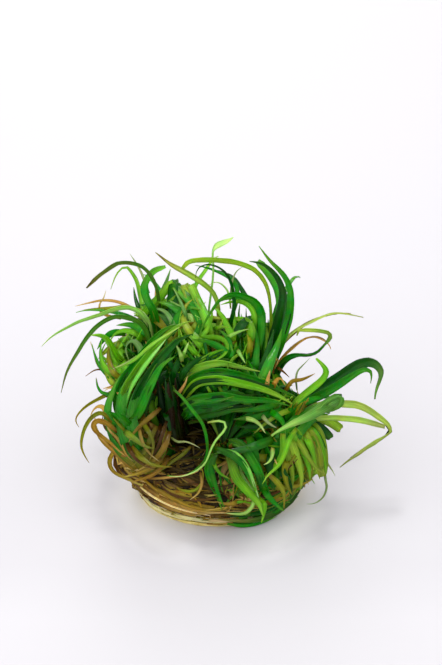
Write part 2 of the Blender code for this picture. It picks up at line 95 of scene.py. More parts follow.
# How far the middles of the leaves stay away from the mat and from the floor.
MAT_CLEAR = 1.9
FLOOR_CLEAR = 1.0

# How far back the front of the clump lies, for each height v at which it is seen.
DOME = [(-16, -30), (0, -30), (10, -28), (20, -24), (30, -18), (40, -12), (50, -3), (60, 5), (70, 14),
        (80, 24), (90, 34), (100, 44)]
# How much further back it lies at its sides, half the clump's width from its middle.
DOME_BEND = 14.0
DOME_HALF_WIDTH = 45.0
# The outline of the clump's thick part, as it is seen.
THICK_PART = [(-30, 2), (-40, 10), (-40, 22), (-39, 32), (-41, 42), (-41, 52), (-37, 60), (-34, 66),
              (-31, 70), (-24, 72), (-20, 77), (-12, 79), (-7, 73), (-4, 67), (1, 65), (6, 66), (14, 68),
              (20, 66), (22, 60), (22, 52), (21, 47), (27, 40), (31, 36), (38, 35), (41, 30), (40, 20),
              (40, 6), (31, -2), (20, -12), (0, -15), (-20, -12)]

Crown = namedtuple("Crown", "name foot top half_depth")
Leaf = namedtuple("Leaf", "name tone width back twist route")
Arc = namedtuple("Arc", "name tone width lift heading lean bend length")
Small = namedtuple("Small", "tone width near route stops", defaults=(None,))
Template = namedtuple("Template", "mesh along across out")

# Each crown stands with its foot at x, y on the mat, and its top is seen at u, v, so far back.
# Each leaf starts at its crown's top or side, and the last group lies against the mat. A leaf has how far
# back its foot, middle and tip lie, how it is twisted at its foot and tip, and the route that is seen.
BUNDLES = [
    # The bundle at the front left, which leans to the back over the top, and old leaves beside it.
    (Crown("crown_front_left", (-28, -11), (-36, 25, -13), 6.0), [
        Leaf("leaf_front_left_1", "green", 4.4, (-9, -6, 6), (20, -10), [(-38, 26), (-40, 33), (-37, 42),
             (-33, 47), (-29, 53), (-24, 59), (-20, 62.5), (-14, 64)]),
        Leaf("leaf_front_left_2", "bright", 4.2, (-12, -9, 3), (15, -15), [(-37, 26), (-37.5, 32),
             (-36, 38), (-33, 43), (-30, 48), (-26, 53), (-22, 57.5), (-16, 63), (-11, 65)]),
        Leaf("leaf_front_left_3", "dark", 4.4, (-14, -11, 0), (10, -5), [(-35, 26), (-33.5, 30), (-31, 36),
             (-28, 42), (-24, 48), (-20, 53), (-15, 58), (-10, 60)]),
        Leaf("leaf_front_left_4", "green", 4.0, (-17, -16, -9), (-15, 10), [(-34, 26), (-31.6, 28),
             (-30, 32), (-28, 37), (-25, 43), (-22, 48), (-17, 51)]),
        Leaf("old_leaf_left_1", "olive", 2.5, (-10, -9, -14), (0, 40), [(-40.6, 23), (-43, 27.5),
             (-46, 29.5), (-49.6, 27.5), (-52, 24), (-53.3, 20), (-53.8, 16), (-52.5, 12.5), (-50.5, 9.5)]),
        Leaf("old_leaf_left_2", "golden", 3.0, (-14, -16, -21), (20, -20), [(-39.4, 21.5), (-43.5, 25),
             (-47.6, 26.5), (-49.3, 24), (-47.5, 21), (-43, 18), (-39, 14.5), (-36, 12)]),
    ]),
    # The bundle at the front, which sweeps to the right.
    (Crown("crown_front", (-16, -11), (-19, 37, -12), 7.0), [
        Leaf("leaf_front_1", "pale", 3.4, (-9, -9, -7), (20, -20), [(-18.5, 38.2), (-16.5, 41.5),
             (-12, 44.5), (-6, 47.5), (0, 48.8), (6, 47.5), (12, 46.3), (16.5, 45.5)]),
        Leaf("leaf_front_2", "green", 3.5, (-10, -12, -9), (10, 15), [(-14.6, 36), (-11, 41.5), (-6, 44.3),
             (0, 45.2), (8, 44), (15, 42), (22, 39), (28, 36.5), (31, 35)]),
        Leaf("leaf_front_3", "bright", 4.0, (-12, -16, -13), (-10, 15), [(-13.9, 34), (-11, 38.5),
             (-8, 41), (-3, 41.8), (2, 42), (8, 41), (14, 39.5), (20, 37.5), (26, 34.5), (30, 32)]),
        Leaf("leaf_front_4", "green", 4.0, (-14, -20, -16), (10, -10), [(-14.2, 31), (-11, 33.6),
             (-7, 34.6), (-3, 34.8), (2, 35.5), (8, 34.5), (16, 34), (22, 33.5), (28, 32)]),
        Leaf("leaf_front_5", "dark", 3.6, (-15, -22, -20), (0, 25), [(-13.8, 27), (-11, 29.6), (-7, 30.6),
             (-3, 30.8), (4, 32.5), (10, 33.5)]),
        Leaf("leaf_front_drooping", "olive", 2.5, (-18, -29, -31), (0, 40), [(-18, 38.8), (-14, 35.4),
             (-10, 30), (-7, 26.5), (-5.5, 24), (-4.5, 20), (-4, 16), (-4.5, 11), (-8, 7), (-12, 4.8),
             (-15, 4), (-20, 4.5)]),
        Leaf("old_leaf_left_4", "olive", 3.0, (-16, -28, -24), (10, -20), [(-21.5, 24), (-20.6, 20),
             (-21, 15), (-25, 10), (-31, 5.5)]),
    ]),
    # The left and its top.
    (Crown("crown_left_top", (-18, 9), (-25, 50, 12), 6.0), [
        Leaf("leaf_left_arch", "dark", 3.0, (9, 7, 0), (30, -20), [(-26, 51), (-27, 57), (-28.5, 62),
             (-31, 65), (-36, 66.7), (-40, 67.2), (-44, 65.5), (-48, 62.5), (-52, 58), (-55, 53),
             (-58, 48), (-60, 43.5), (-61.5, 37)]),
        Leaf("leaf_left_pale", "pale", 2.6, (11, 10, 2), (20, 10), [(-25.5, 51), (-26.5, 59), (-28, 66),
             (-32, 70.2), (-37, 70.4), (-42, 69), (-46, 67.8), (-50, 66.5), (-56, 64), (-60, 62),
             (-63, 60.8), (-66, 58.5), (-69, 55)]),
        Leaf("leaf_left_top", "olive", 2.8, (15, 20, 22), (10, 30), [(-23, 51), (-22.5, 60), (-22.8, 68),
             (-23.5, 76), (-25.5, 82.5), (-29, 86.3), (-33, 87.7), (-39, 88), (-43, 85.5), (-47.5, 82.5),
             (-51.5, 78)]),
        Leaf("leaf_left_bright", "bright", 3.0, (8, 4, 0), (10, 20), [(-28, 46.5), (-34, 47),
             (-38.5, 49.5), (-41, 54), (-43, 58.4), (-46, 59.5), (-50, 59.5)]),
        Leaf("leaf_left_curl", "bright", 3.4, (13, 15, 24), (0, 40), [(-24.5, 51), (-24.3, 60), (-25, 69),
             (-27.5, 73), (-29, 77), (-28.6, 81), (-26, 85), (-20.5, 86.5)]),
        Leaf("leaf_left_low", "olive", 2.6, (6, 2, -3), (0, 30), [(-26, 42), (-33, 40.6), (-40, 38),
             (-47, 34.5), (-52, 31.5), (-55, 28.5), (-56.2, 26), (-54.5, 23.5)]),
    ]),
    # The middle of the top.
    (Crown("crown_centre", (-2, 5), (-1, 52, 10), 5.0), [
        Leaf("leaf_top_middle", "olive", 2.5, (8, 20, 27), (20, -20), [(-2, 53), (0, 62), (0.5, 69),
             (-1, 75.5), (-5, 79.4), (-10, 82.6), (-14, 85), (-18, 87), (-21.5, 89.5), (-24.5, 92)]),
        Leaf("leaf_top_hook", "olive", 2.2, (10, 16, 18), (0, 30), [(0.5, 53), (4, 62), (6.7, 70), (6, 77),
             (5, 80.5), (3.5, 83.5), (0.5, 86), (-3, 87.3), (-6.5, 87), (-8.5, 85), (-8.8, 82)]),
        Leaf("leaf_top_kinked", "pale", 2.2, (12, 22, 28), (0, 30), [(-3, 53), (-4, 66), (-2.5, 78),
             (-1.6, 86), (-2.2, 91), (-1.8, 94), (1, 95.6), (4, 96.6), (6, 98)]),
    ]),
    # The bundle at the right of the top.
    (Crown("crown_right_top", (14, 8), (18, 43.5, 9), 6.0), [
        Leaf("leaf_right_top_1", "green", 3.6, (8, 14, 2), (10, 20), [(16.5, 44.6), (16.3, 54), (17, 62),
             (17.3, 68), (15, 72.5), (10, 75.3), (5, 75.5), (0, 73), (-3, 69), (-5, 64), (-7, 60),
             (-8, 57)]),
        Leaf("leaf_right_top_2", "dark", 4.0, (9, 17, 27), (15, 10), [(18.5, 44.6), (20.5, 52), (21.5, 58),
             (23.5, 65), (25, 71), (25.6, 76), (24.3, 80.5), (21, 85), (17, 88), (12.5, 88.5)]),
        Leaf("leaf_right_top_3", "green", 3.6, (6, 14, 25), (30, 0), [(19.5, 44.6), (22.5, 51), (25, 57),
             (27.5, 65), (28.8, 72), (28.4, 78), (25.4, 84), (20, 89), (16, 94.5)]),
        Leaf("leaf_right_top_4", "bright", 2.7, (12, 21, 23), (0, 30), [(17.5, 44.6), (20, 56), (21, 66),
             (20.6, 71), (20, 75.5), (18.6, 80), (16, 84), (13, 86.3), (9, 87.8), (3, 88.5), (-3, 88.9),
             (-9, 89.4), (-12.5, 88.2), (-14, 85.5)]),
        Leaf("leaf_right_kinked", "dark", 3.0, (6, 3, 8), (0, 30), [(22.2, 41.5), (24, 47), (27, 50.5),
             (31, 52), (35, 51.5), (38.5, 52.3), (41.5, 55.3), (43.6, 57.8), (44.6, 59.6), (43, 60.6),
             (39, 61.3), (33, 61.8), (31, 61), (31, 59.5)]),
    ]),
    # The right.
    (Crown("crown_right", (24, -6), (29, 29.5, -8), 7.0), [
        Leaf("leaf_right_small", "bright", 2.6, (-11, -8, -4), (10, 10), [(28.5, 30.6), (32, 35),
             (37, 38.8), (41.2, 42.2), (42.8, 45.2), (41.5, 47.6), (38.5, 50.5)]),
        Leaf("leaf_right_hook", "dark", 3.6, (-3, 0, 3), (20, -10), [(29, 31.2), (35, 35.8), (42, 39.4),
             (48, 43.3), (53, 46.8), (58, 49.2), (61.5, 48.7), (64.3, 45.5), (63.8, 41.5), (62.2, 38),
             (61.5, 34.5)]),
        Leaf("leaf_right_blade", "green", 3.6, (-6, -4, -2), (-10, 20), [(31, 31), (35, 33.6), (41, 36.3),
             (47, 39.8), (52, 43.2), (56.6, 46), (59.8, 46), (60.5, 43), (60.2, 40.5)]),
        Leaf("leaf_right_long", "green", 3.0, (-8, -8, -12), (10, 30), [(33.0, 29), (38, 31.8), (44, 33.1),
             (50, 32.5), (55, 32.4), (60, 30), (64, 26.8), (67, 24.2), (68.6, 22.3), (66, 20), (62, 17.3),
             (56, 14), (51, 10.5), (48, 7.5)]),
        Leaf("leaf_right_yellow", "bright", 2.8, (-9, -12, -11), (0, 10), [(31.8, 26), (38, 26.8),
             (44, 27.2), (50, 26.9), (56, 26.3), (61, 25), (65.5, 23.6)]),
        Leaf("leaf_right_folded", "pale", 3.4, (-13, -16, -25), (0, 25), [(32.4, 27.6), (37, 29.5),
             (41.5, 29.6), (46.5, 30.5), (49.3, 33.5), (48.3, 36), (44.5, 33.5), (40, 30.5), (36, 28),
             (32, 26.5), (28, 24.5), (24, 22.5), (21, 20)]),
        Leaf("leaf_right_hanging", "olive", 3.0, (-6, -8, -6), (10, 40), [(30.0, 24.2), (35.5, 23),
             (39, 20), (41, 15), (42, 10), (42, 3.5)]),
    ]),
    # The leaves that hang over the front of the mat and the pad's rim.
    (Crown("crown_low_front", (2, -18), (2.5, 16, -23), 5.0), [
        Leaf("leaf_low_front_1", "green", 3.4, (-26, -33, -24), (10, -20), [(4, 17.6), (7.4, 17.4),
             (10.8, 14.6), (13.2, 11), (15.5, 7), (17, 3), (18.3, -0.5), (20.5, -4.5), (25, -9.2)]),
        Leaf("leaf_low_front_2", "pale", 3.0, (-26, -32, -29), (-10, 20), [(6.8, 13), (7.2, 10),
             (7.6, 6.5), (9.8, 2.6), (13, -1), (16, -4.5)]),
        Leaf("leaf_low_front_3", "green", 2.6, (-25, -30, -29), (10, 10), [(-1.6, 13), (-3.6, 10.5),
             (-4.5, 7), (-3.6, 3.5), (-2, 0), (0, -4), (1.5, -9)]),
    ]),
    # Old leaves and a leaf that are wrapped round the mat and the pad.
    (None, [
        Leaf("old_leaf_left_3", "golden", 2.6, (-13, -13, -22), (0, 30), [(-39, 17), (-41.5, 13),
             (-42.8, 10), (-42, 7), (-40, 5), (-36, 3.5), (-31, 1), (-27, 0)]),
        Leaf("leaf_low_right", "bright", 3.0, (-21, -28, -28), (0, 25), [(25.5, 21), (25.6, 18), (26, 15),
             (25, 11), (22, 7.5), (19, 4.5), (16.5, 3)]),
        Leaf("leaf_round_rim", "dark", 3.0, (-28, -25, -9), (0, 0), [(0, -12.6), (6, -13.3), (12, -13.3),
             (18, -12.2), (24, -9.3), (28.6, -5.3), (32, -1)]),
    ]),
]

# The leaves at the back, which aren't seen: how far each starts above its crown's top, which way it heads,
# how it leans and how much further it bends, in degrees, and its length.
ARC_BUNDLES = [
    (Crown("crown_back_left", (-13, 20), (-16, 48, 25), 4.0), [
        Arc("leaf_back_left_1", "green", 3.8, 0.9, 112, 12, 118, 50),
        Arc("leaf_back_left_2", "green", 3.6, 0.9, 165, 25, 98, 48),
        Arc("leaf_back_left_3", "bright", 3.6, 0.9, 60, 2, 95, 50),
        Arc("old_leaf_back_1", "golden", 3.2, -5.0, 135, 40, 125, 38),
    ]),
    (Crown("crown_back_right", (15, 20), (18.5, 48, 25), 4.0), [
        Arc("leaf_back_right_1", "green", 3.8, 0.9, 68, 14, 118, 50),
        Arc("leaf_back_right_2", "olive", 3.4, 0.9, 15, 28, 95, 46),
        Arc("leaf_back_right_3", "dark", 3.8, 0.9, 122, 4, 128, 54),
        Arc("old_leaf_back_2", "golden", 3.0, -5.0, 40, 40, 125, 38),
    ]),
]

# How the width changes along a leaf that is cut off at both ends, along one that rises out of the clump,
# along a painted highlight streak that is widest past its middle and along one that is folded out near its
# foot.
CUT = [(0, 0.6), (0.3, 1.0), (0.97, 0.9), (1, 0.6)]
RISING = [(0, 0.1), (0.12, 0.2), (0.35, 1.0), (0.75, 0.9), (1, 0.15)]
HIGHLIGHT_STREAK = [(0, 0.1), (0.3, 0.7), (0.6, 0.85), (0.85, 0.5), (1, 0.1)]
FOLDED = [(0, 0.5), (0.12, 1.0), (0.35, 1.05), (0.7, 0.6), (1, 0.1)]
# Small leaves of each crown: the tone, the width, how much nearer to the viewer than the clump's front, the
# route that is seen from foot to tip and, for some, how the width changes.
# The left top and the left. Those of tone mist are painted sheen.
LEFT_TOP_SMALL = [
    ("bright", 2.0, -9, [(-26, 60), (-30, 72), (-31, 78), (-32, 81.5), (-34, 84.5), (-36, 87),
     (-38.5, 85.5), (-40.5, 82), (-42, 77.5)]),
    ("grey", 1.1, -8, [(-27, 76), (-29.5, 83), (-32, 88), (-34.5, 91.5)]),
    ("tan", 1.4, -6, [(-30, 68), (-36, 71.5), (-40, 73), (-45, 73.5), (-50, 72.3), (-56, 71)]),
    ("tan", 1.2, -6, [(-38, 66), (-45, 67.5), (-46.5, 69.5), (-46.5, 72), (-45, 73.5), (-44, 77)]),
    ("olive", 1.8, -5, [(-30, 69), (-36, 71), (-40, 70.3), (-46, 70), (-52.5, 69.5)]),
    ("dark", 2.4, -7, [(-28, 60), (-31, 70), (-32.5, 74), (-33, 78.5)]),
    ("bright", 2.0, -6, [(-27.5, 60), (-30, 73), (-30.5, 78), (-32, 82)]),
    ("mist", 2.6, -3, [(-24, 64), (-23.5, 72), (-22, 76.5), (-20, 81), (-18.6, 85.5)]),
    ("tan", 1.0, -8, [(-24.5, 68), (-24.5, 75), (-24.5, 81)]),
    ("olive", 4.2, -2, [(-15, 56), (-17, 60), (-20, 63), (-25, 66.5), (-30, 69), (-36, 70)]),
    ("dark", 3.2, -3, [(-17, 60), (-21, 67), (-26, 71), (-31, 71.5)]),
    ("green", 3.8, 1, [(-12, 62), (-14, 68), (-18, 71.5), (-24, 72.5)]),
    ("bright", 3.6, 1, [(-31, 66), (-27, 70.5), (-23, 74), (-20, 77.5), (-17.5, 80.5)], CUT),
    ("dark", 4.4, 0.5, [(-14, 61), (-16, 67), (-18, 71.5), (-17.8, 76), (-16.8, 81.5)], CUT),
    ("mist", 2.2, 2, [(-15.5, 58), (-17.3, 63), (-19.3, 67.5), (-22.5, 70.2), (-27, 69.6)]),
    ("dark", 4.0, 1.5, [(-14, 57), (-17, 61.5), (-20, 65.5), (-23.5, 68)]),
    ("bright", 3.8, -2, [(-16, 60), (-21, 64), (-27, 67), (-33, 68)]),
    ("dark", 3.4, -3, [(-12, 66), (-15, 74), (-16, 80)], CUT),
    ("bright", 3.4, 0, [(-34, 50), (-38, 53), (-42, 52), (-45, 48)]),
    ("lime", 3.0, 0, [(-35, 56), (-40, 56), (-44, 53.5), (-47, 50)]),
    ("bright", 2.6, 1, [(-35, 42), (-38, 46), (-42, 48), (-46, 52)]),
    ("green", 3.0, 0, [(-36, 60), (-41, 61), (-45, 58), (-47.5, 54)]),
    ("lime", 2.4, 1, [(-38, 38), (-42, 41), (-44, 45), (-44, 50)]),
    ("bright", 3.2, 1, [(-36, 45), (-40, 48.2), (-41.5, 53.5), (-42.5, 57), (-45.5, 59.6), (-50.5, 59.7)]),
    ("green", 2.0, 1, [(-37, 40), (-41, 42.5), (-44.2, 44.6), (-46.8, 47.7), (-48.4, 52.4), (-49.4, 56.1)]),
    ("bright", 3.0, 2, [(-37, 43), (-41, 44.6), (-44.2, 46.7), (-45.8, 49.8), (-46.5, 53.5), (-45.8, 57.6)]),
    ("olive", 2.6, 2, [(-37, 42), (-41, 44.5), (-42.6, 48.7), (-43.1, 52), (-42.6, 55.6)]),
    ("bright", 3.0, 1, [(-32, 42), (-36, 46), (-38.5, 51), (-38.5, 56), (-35, 60)]),
    ("green", 1.6, 1, [(-40, 34), (-43.6, 36.7), (-45.8, 37), (-47.3, 39.3), (-47.8, 42.5)]),
    ("tan", 2.2, 2, [(-36, 34), (-38.9, 37.3), (-40, 39.3), (-42.6, 39.3), (-44.7, 37.8)]),
    ("bright", 1.7, 0, [(-33, 38), (-38, 41.5), (-42, 43), (-45.4, 46.5), (-46.4, 50), (-45.6, 54),
     (-43.5, 57.5)]),
    ("olive", 1.1, 0, [(-34, 39), (-40, 42), (-44, 45), (-46.5, 46.5), (-48, 49), (-48.5, 53), (-50, 57)]),
    ("brown", 1.0, 0, [(-38, 43), (-43, 45.5), (-48, 46.5), (-52, 43.5)]),
    ("brown", 1.0, 0, [(-40, 33), (-44, 36), (-46.5, 37.5), (-47.3, 40), (-47.8, 43)]),
    ("tan", 1.5, 1, [(-33, 37), (-38, 39), (-42, 39.5), (-45, 38.5)]),
    ("mist", 3.0, 2, [(-30, 43), (-29.6, 48), (-29.8, 53), (-31.5, 56.6), (-34, 57.6), (-35.8, 55.8),
     (-36, 53), (-35, 50)]),
    ("bright", 2.6, 1, [(-28, 58), (-33, 61), (-37, 61.5), (-41, 60), (-43, 56)]),
    ("green", 3.2, 1, [(-25, 58), (-30, 62), (-35, 64), (-40, 63.5)]),
    ("pale", 1.5, 4, [(-22, 61), (-24, 59.5), (-27, 56), (-30, 52), (-36, 48.5), (-41, 46.5)]),
]
# The middle of the top. Those of tone mist are painted sheen.
CENTRE_SMALL = [
    ("green", 4.2, 1, [(-3, 58), (-6, 65), (-10, 71.5), (-13.5, 76), (-17, 79)], CUT),
    ("lime", 4.4, 0.5, [(-5, 60), (-8, 68), (-10.5, 74), (-13.2, 80)], CUT),
    ("bright", 3.4, 1.5, [(-2, 57), (-4, 64), (-5.8, 69), (-8.3, 74), (-10.5, 79.5)], CUT),
    ("lime", 3.0, 2, [(-8, 57), (-12, 62), (-14, 66.5), (-13, 71), (-10, 73.5)]),
    ("mist", 1.5, 3, [(-11.5, 64), (-13.5, 70), (-15.5, 74.5), (-17.5, 78)]),
    ("green", 3.2, 2, [(-18.5, 58), (-17, 64), (-15, 69), (-11, 71), (-7, 69.5)]),
    ("bright", 2.4, 1, [(-10, 53), (-9, 56), (-5, 58.7), (0.4, 58.9), (3.6, 56.5), (3.4, 52.8), (0, 50),
     (-4, 48.5)]),
    ("bright", 2.2, 1, [(-9, 55), (-7, 58), (-4, 62), (-2.4, 66), (-2.2, 70)]),
    ("lime", 1.5, 2, [(0, 61), (1, 63), (2, 66)]),
    ("bright", 1.5, 2, [(-2, 62), (1, 63), (4.5, 62.5)]),
    ("bright", 3.0, 0, [(8, 56), (4, 62), (2, 67), (-2, 71)]),
    ("lime", 3.4, 0, [(-12, 58), (-8, 64), (-3, 67), (2, 66)]),
    ("bright", 3.6, 1, [(-4, 52), (-8, 58), (-13, 62), (-19, 64)]),
    ("green", 3.4, 1, [(6, 48), (2, 54), (-4, 57), (-10, 58)]),
    ("bright", 3.0, 0, [(-4, 60), (-6, 65), (-9, 69), (-12.5, 73)]),
    ("olive", 3.0, -2, [(-6, 58), (-9, 66), (-13, 72), (-18, 76)]),
    ("green", 2.6, 0, [(-12, 54), (-9, 59), (-7, 64), (-8, 69)]),
    ("green", 2.6, 0, [(2, 50), (5, 54), (4, 59), (0, 62)]),
    ("dark", 2.6, -2, [(-14, 56), (-12, 61), (-13, 66), (-17, 70)]),
    ("bright", 2.0, 2, [(-6, 50), (-10, 53.5), (-14, 57.5), (-15, 62)]),
    ("green", 1.8, 1, [(4, 49), (6, 52), (5, 56)]),
]
# The wide leaf bases of the front left bundle, the old leaves beside it and what hangs before it.
FRONT_LEFT_SMALL = [
    ("tan", 2.6, 1, [(-41, 20), (-43.1, 26.8), (-44.2, 31), (-46.8, 32), (-49.9, 29.4), (-50.5, 26)]),
    # Two painted highlights: pale streaks along the bundle's leaves.
    ("lit", 1.5, 12, [(-40, 46), (-36, 48), (-32.5, 49.8), (-25.5, 56.5), (-15, 62.7)], HIGHLIGHT_STREAK),
    ("wet", 1.8, 11, [(-36, 31), (-34.8, 38), (-29.5, 46.5), (-24.5, 53), (-20.5, 58)], HIGHLIGHT_STREAK),
    ("sheath", 6.0, 5, [(-28, 6), (-32.5, 12), (-36, 19), (-38, 26), (-38, 33), (-35.5, 41), (-31, 48),
     (-27, 53)]),
    ("sheath", 5.5, 5, [(-26, 8), (-29.5, 14), (-32.5, 20), (-34, 27), (-33, 34), (-30, 41), (-26, 48)]),
    ("sheath", 5.0, 4, [(-31, 7), (-37, 13), (-41, 19.5), (-43, 26), (-43.2, 32), (-41.5, 38), (-38, 44)]),
    ("green", 2.6, 1, [(-34, 19), (-38, 22), (-41, 25.5), (-43, 29), (-44, 33.5)]),
    ("olive", 2.8, 3, [(-33, 16), (-36, 22), (-38, 29), (-38, 35)]),
    ("pale", 1.8, 3, [(-36, 20), (-38, 26), (-38.6, 32), (-37.5, 38), (-34, 44), (-30, 50)]),
    ("green", 4.4, 0, [(-31, 16), (-33, 21), (-33.5, 27), (-32, 33), (-29, 39), (-25, 45)]),
    ("bright", 3.0, 3, [(-27.7, 20.2), (-31.6, 16.8), (-34.5, 13.9)]),
    ("brown", 1.5, 3, [(-36, 12), (-39, 18.5), (-42, 21), (-44.5, 23), (-45.5, 26), (-45, 29.5)]),
    ("golden", 3.4, 2, [(-27.5, 5.3), (-32.3, 7.2), (-36.2, 10.6), (-41, 14.9), (-45.3, 18.3),
     (-48.2, 23.1), (-48.5, 28)]),
    ("tan", 1.4, 4, [(-33.8, 11), (-37, 14.9), (-39.4, 19.3), (-43.3, 22.6), (-44.3, 26.5)]),
    ("golden", 2.4, 3, [(-30, 14), (-35, 12.5), (-40, 13.5), (-44, 17), (-47, 20)]),
    ("olive", 2.0, 8, [(-24, 24), (-27, 18), (-29, 12), (-34, 8)]),
    ("brown", 1.6, 8, [(-20, 26), (-22, 20), (-24, 14), (-29, 9)]),
    ("golden", 2.4, 8, [(-19, 22), (-21, 15), (-26, 9), (-32, 6)]),
    ("tan", 1.4, 9, [(-31, 24), (-30, 18), (-27, 13), (-23, 10)]),
    ("olive", 2.2, 9, [(-34, 16), (-30, 11), (-24, 8), (-18, 8)]),
    ("brown", 1.8, 8, [(-36, 18), (-34, 13), (-30, 9), (-25, 7)]),
    ("olive", 1.8, 9, [(-30, 26), (-26, 20), (-25, 15), (-27, 10)]),
    ("lime", 2.6, 9, [(-37, 22), (-33, 19), (-29, 16), (-25, 15)]),
    ("golden", 2.2, 5, [(-20, 15), (-23, 9.8), (-28, 6.4), (-33, 4.8), (-37, 4)]),
    ("golden", 1.8, 4, [(-19, 12), (-22, 7.5), (-26, 4.4), (-30, 3), (-34, 2)]),
    ("tan", 1.0, 6, [(-39, 19.5), (-37.5, 16), (-36, 12.5), (-33, 10)]),
    ("green", 2.6, 5, [(-28.5, 17), (-31, 15.6), (-34.5, 13), (-36, 11)]),
]
# The right, and what hangs over the mat there.
RIGHT_SMALL = [
    ("sheath", 4.6, 1, [(20, 12), (24, 18), (28, 24), (33, 29), (40, 33)]),
    ("sheath", 4.2, 1, [(26, 12), (29, 18), (33, 23), (38, 27), (44, 29)]),
    ("grey", 0.8, -2, [(31, 38), (30.5, 42), (31, 45.5), (33, 47.5), (36, 50.5)]),
    ("lime", 3.8, -2, [(36, 29), (41, 27), (45, 25), (48.3, 22.6)], CUT),
    ("dark", 3.4, -4, [(35, 27), (39, 24), (42, 22), (44.5, 18.8)], CUT),
    ("folded", 4.2, 12, [(49, 35.6), (46, 34.4), (42, 31.6), (37, 28.4), (32, 26), (26, 23.4),
     (21, 20.3)], FOLDED),
    ("green", 3.0, 0, [(27, 30), (33, 33), (39, 35), (45, 35.5)]),
    ("dark", 3.0, -2, [(26, 27), (32, 29), (38, 30), (44, 29)]),
    ("olive", 2.6, 0, [(31, 26), (35, 20), (36.5, 14), (37, 8), (35.5, 3)]),
    ("green", 2.6, -1, [(34, 25), (38, 20), (40, 14), (41, 8), (41, 4)]),
    ("olive", 2.6, 1, [(29, 24), (32, 19), (33.5, 13), (34.5, 8), (33, 4)]),
    ("golden", 2.4, 1, [(36, 22), (37, 16), (39, 10), (39.5, 4)]),
    ("bright", 2.4, 2, [(27, 25), (30, 20), (32, 16), (34, 12)]),
    ("grey", 0.9, -3, [(40, 14), (42.4, 10), (45, 6.4), (46, 4.4)]),
    ("grey", 1.0, -4, [(41.5, 9), (42.2, 2.4), (42.9, 0), (41.5, -4.2), (38, -6.7), (34.9, -6.7)]),
    ("lime", 3.6, 0, [(33, 27), (38, 24), (41, 18), (41.6, 10), (41.2, 4)], CUT),
    ("bright", 3.6, 0, [(30, 26), (35, 23), (38, 16), (38.6, 9), (38, 5)], CUT),
    ("lime", 3.6, 0, [(28, 25), (32, 21), (35, 14), (35.6, 8), (35.4, 3)], CUT),
    ("lime", 3.0, 1, [(32, 26), (36, 22), (39.5, 15), (40.2, 7)], CUT),
    ("lime", 3.4, 0, [(26, 23), (29, 17), (31.5, 11), (32.4, 6), (31.6, 1)], CUT),
    ("yellow", 3.0, 1, [(31, 22), (34, 18), (37, 12), (37.6, 6.5)], CUT),
    ("lime", 2.8, 2, [(24, 22), (26, 16), (28.5, 9), (29.5, 3), (28.6, -2)]),
    ("green", 3.0, 1, [(20, 22), (23, 16), (24.5, 9), (23.6, 2)]),
    ("bright", 3.4, 1, [(33, 25), (37, 22), (40, 17), (42, 11), (42.5, 4.5)]),
    ("lime", 3.6, 2, [(31, 24), (34, 21), (37, 15), (39, 8), (40, 3.2)]),
    ("bright", 3.2, 2, [(28, 23), (31, 19), (34, 13), (36, 7), (36.3, 2.2)]),
    ("lime", 3.4, 3, [(27, 22), (29, 17), (31.5, 10), (33, 4), (32.4, -1)]),
    ("bright", 2.6, 3, [(33, 22), (36, 17), (38, 11), (39, 5)]),
    ("green", 3.2, 0, [(34, 25), (38.5, 21), (41.5, 15.5), (42.8, 9)]),
    ("lime", 2.2, 4, [(29, 21), (31, 18), (33.5, 15), (36, 10.5), (39, 7), (42, 5)]),
]
# The right of the top.
RIGHT_TOP_SMALL = [
    ("green", 3.0, 0, [(16, 54), (17.5, 64), (15.5, 71), (10, 74), (4, 74.5), (-1, 72)]),
    ("bright", 2.4, 0, [(14, 60), (14.5, 68), (11, 72.3), (6, 73), (1, 71.5)]),
    ("sheath", 4.6, 0, [(15, 34), (17, 41), (20, 48), (23, 55), (25, 62)]),
    ("green", 3.4, -13, [(23, 56), (24.7, 69.4), (24.2, 75.3), (22.2, 80.6), (19, 85.2), (15.5, 88.6)], CUT),
    ("dark", 2.6, -12, [(22, 54), (24.5, 62), (26.6, 70), (26.6, 77), (23.5, 82.5)]),
    ("green", 1.8, -8, [(6, 68), (8, 75), (7, 80), (4, 82.5), (0, 84.5), (-4, 86), (-9, 87)]),
    ("pale", 0.9, -6, [(5, 70), (4.5, 76), (2, 79.5), (-1, 80.8), (-4, 79)]),
    ("grey", 0.8, -6, [(5, 74), (5.2, 79), (6.3, 83), (7.5, 85), (10, 86.5)]),
    ("green", 2.2, -3, [(12, 46), (11, 55), (10, 62), (9, 68)]),
    ("bright", 1.8, -3, [(7, 48), (6.5, 60), (6.5, 72)]),
    ("green", 1.7, -4, [(8, 48), (8, 66), (8.8, 72.5)]),
    ("dark", 1.8, -4, [(13, 46), (11.5, 60), (11, 70)]),
    ("tan", 1.2, -3, [(15, 50), (14, 62), (14.4, 66), (12.5, 67)]),
    ("pale", 1.6, 1, [(2, 57.5), (7, 60.5), (12, 62)]),
    ("pale", 1.6, 1, [(7.5, 54), (9, 51.5), (10.8, 48.5)]),
    ("tan", 2.0, 1, [(19, 38), (19.6, 42), (20.5, 46)]),
    ("golden", 2.0, 1, [(21, 38), (23, 42.5), (25, 43), (26.5, 40)]),
    ("golden", 1.8, 0, [(26, 37), (29, 41.8), (32, 41.8), (35, 43), (38, 44.5)]),
    ("brown", 1.1, 1, [(23, 47), (25.5, 45.5), (28, 43)]),
    ("dark", 3.2, -2, [(16, 40), (18, 48), (20.5, 56), (22, 62)]),
    ("green", 2.6, -2, [(14, 42), (15, 50), (15.5, 58), (14, 65)]),
]
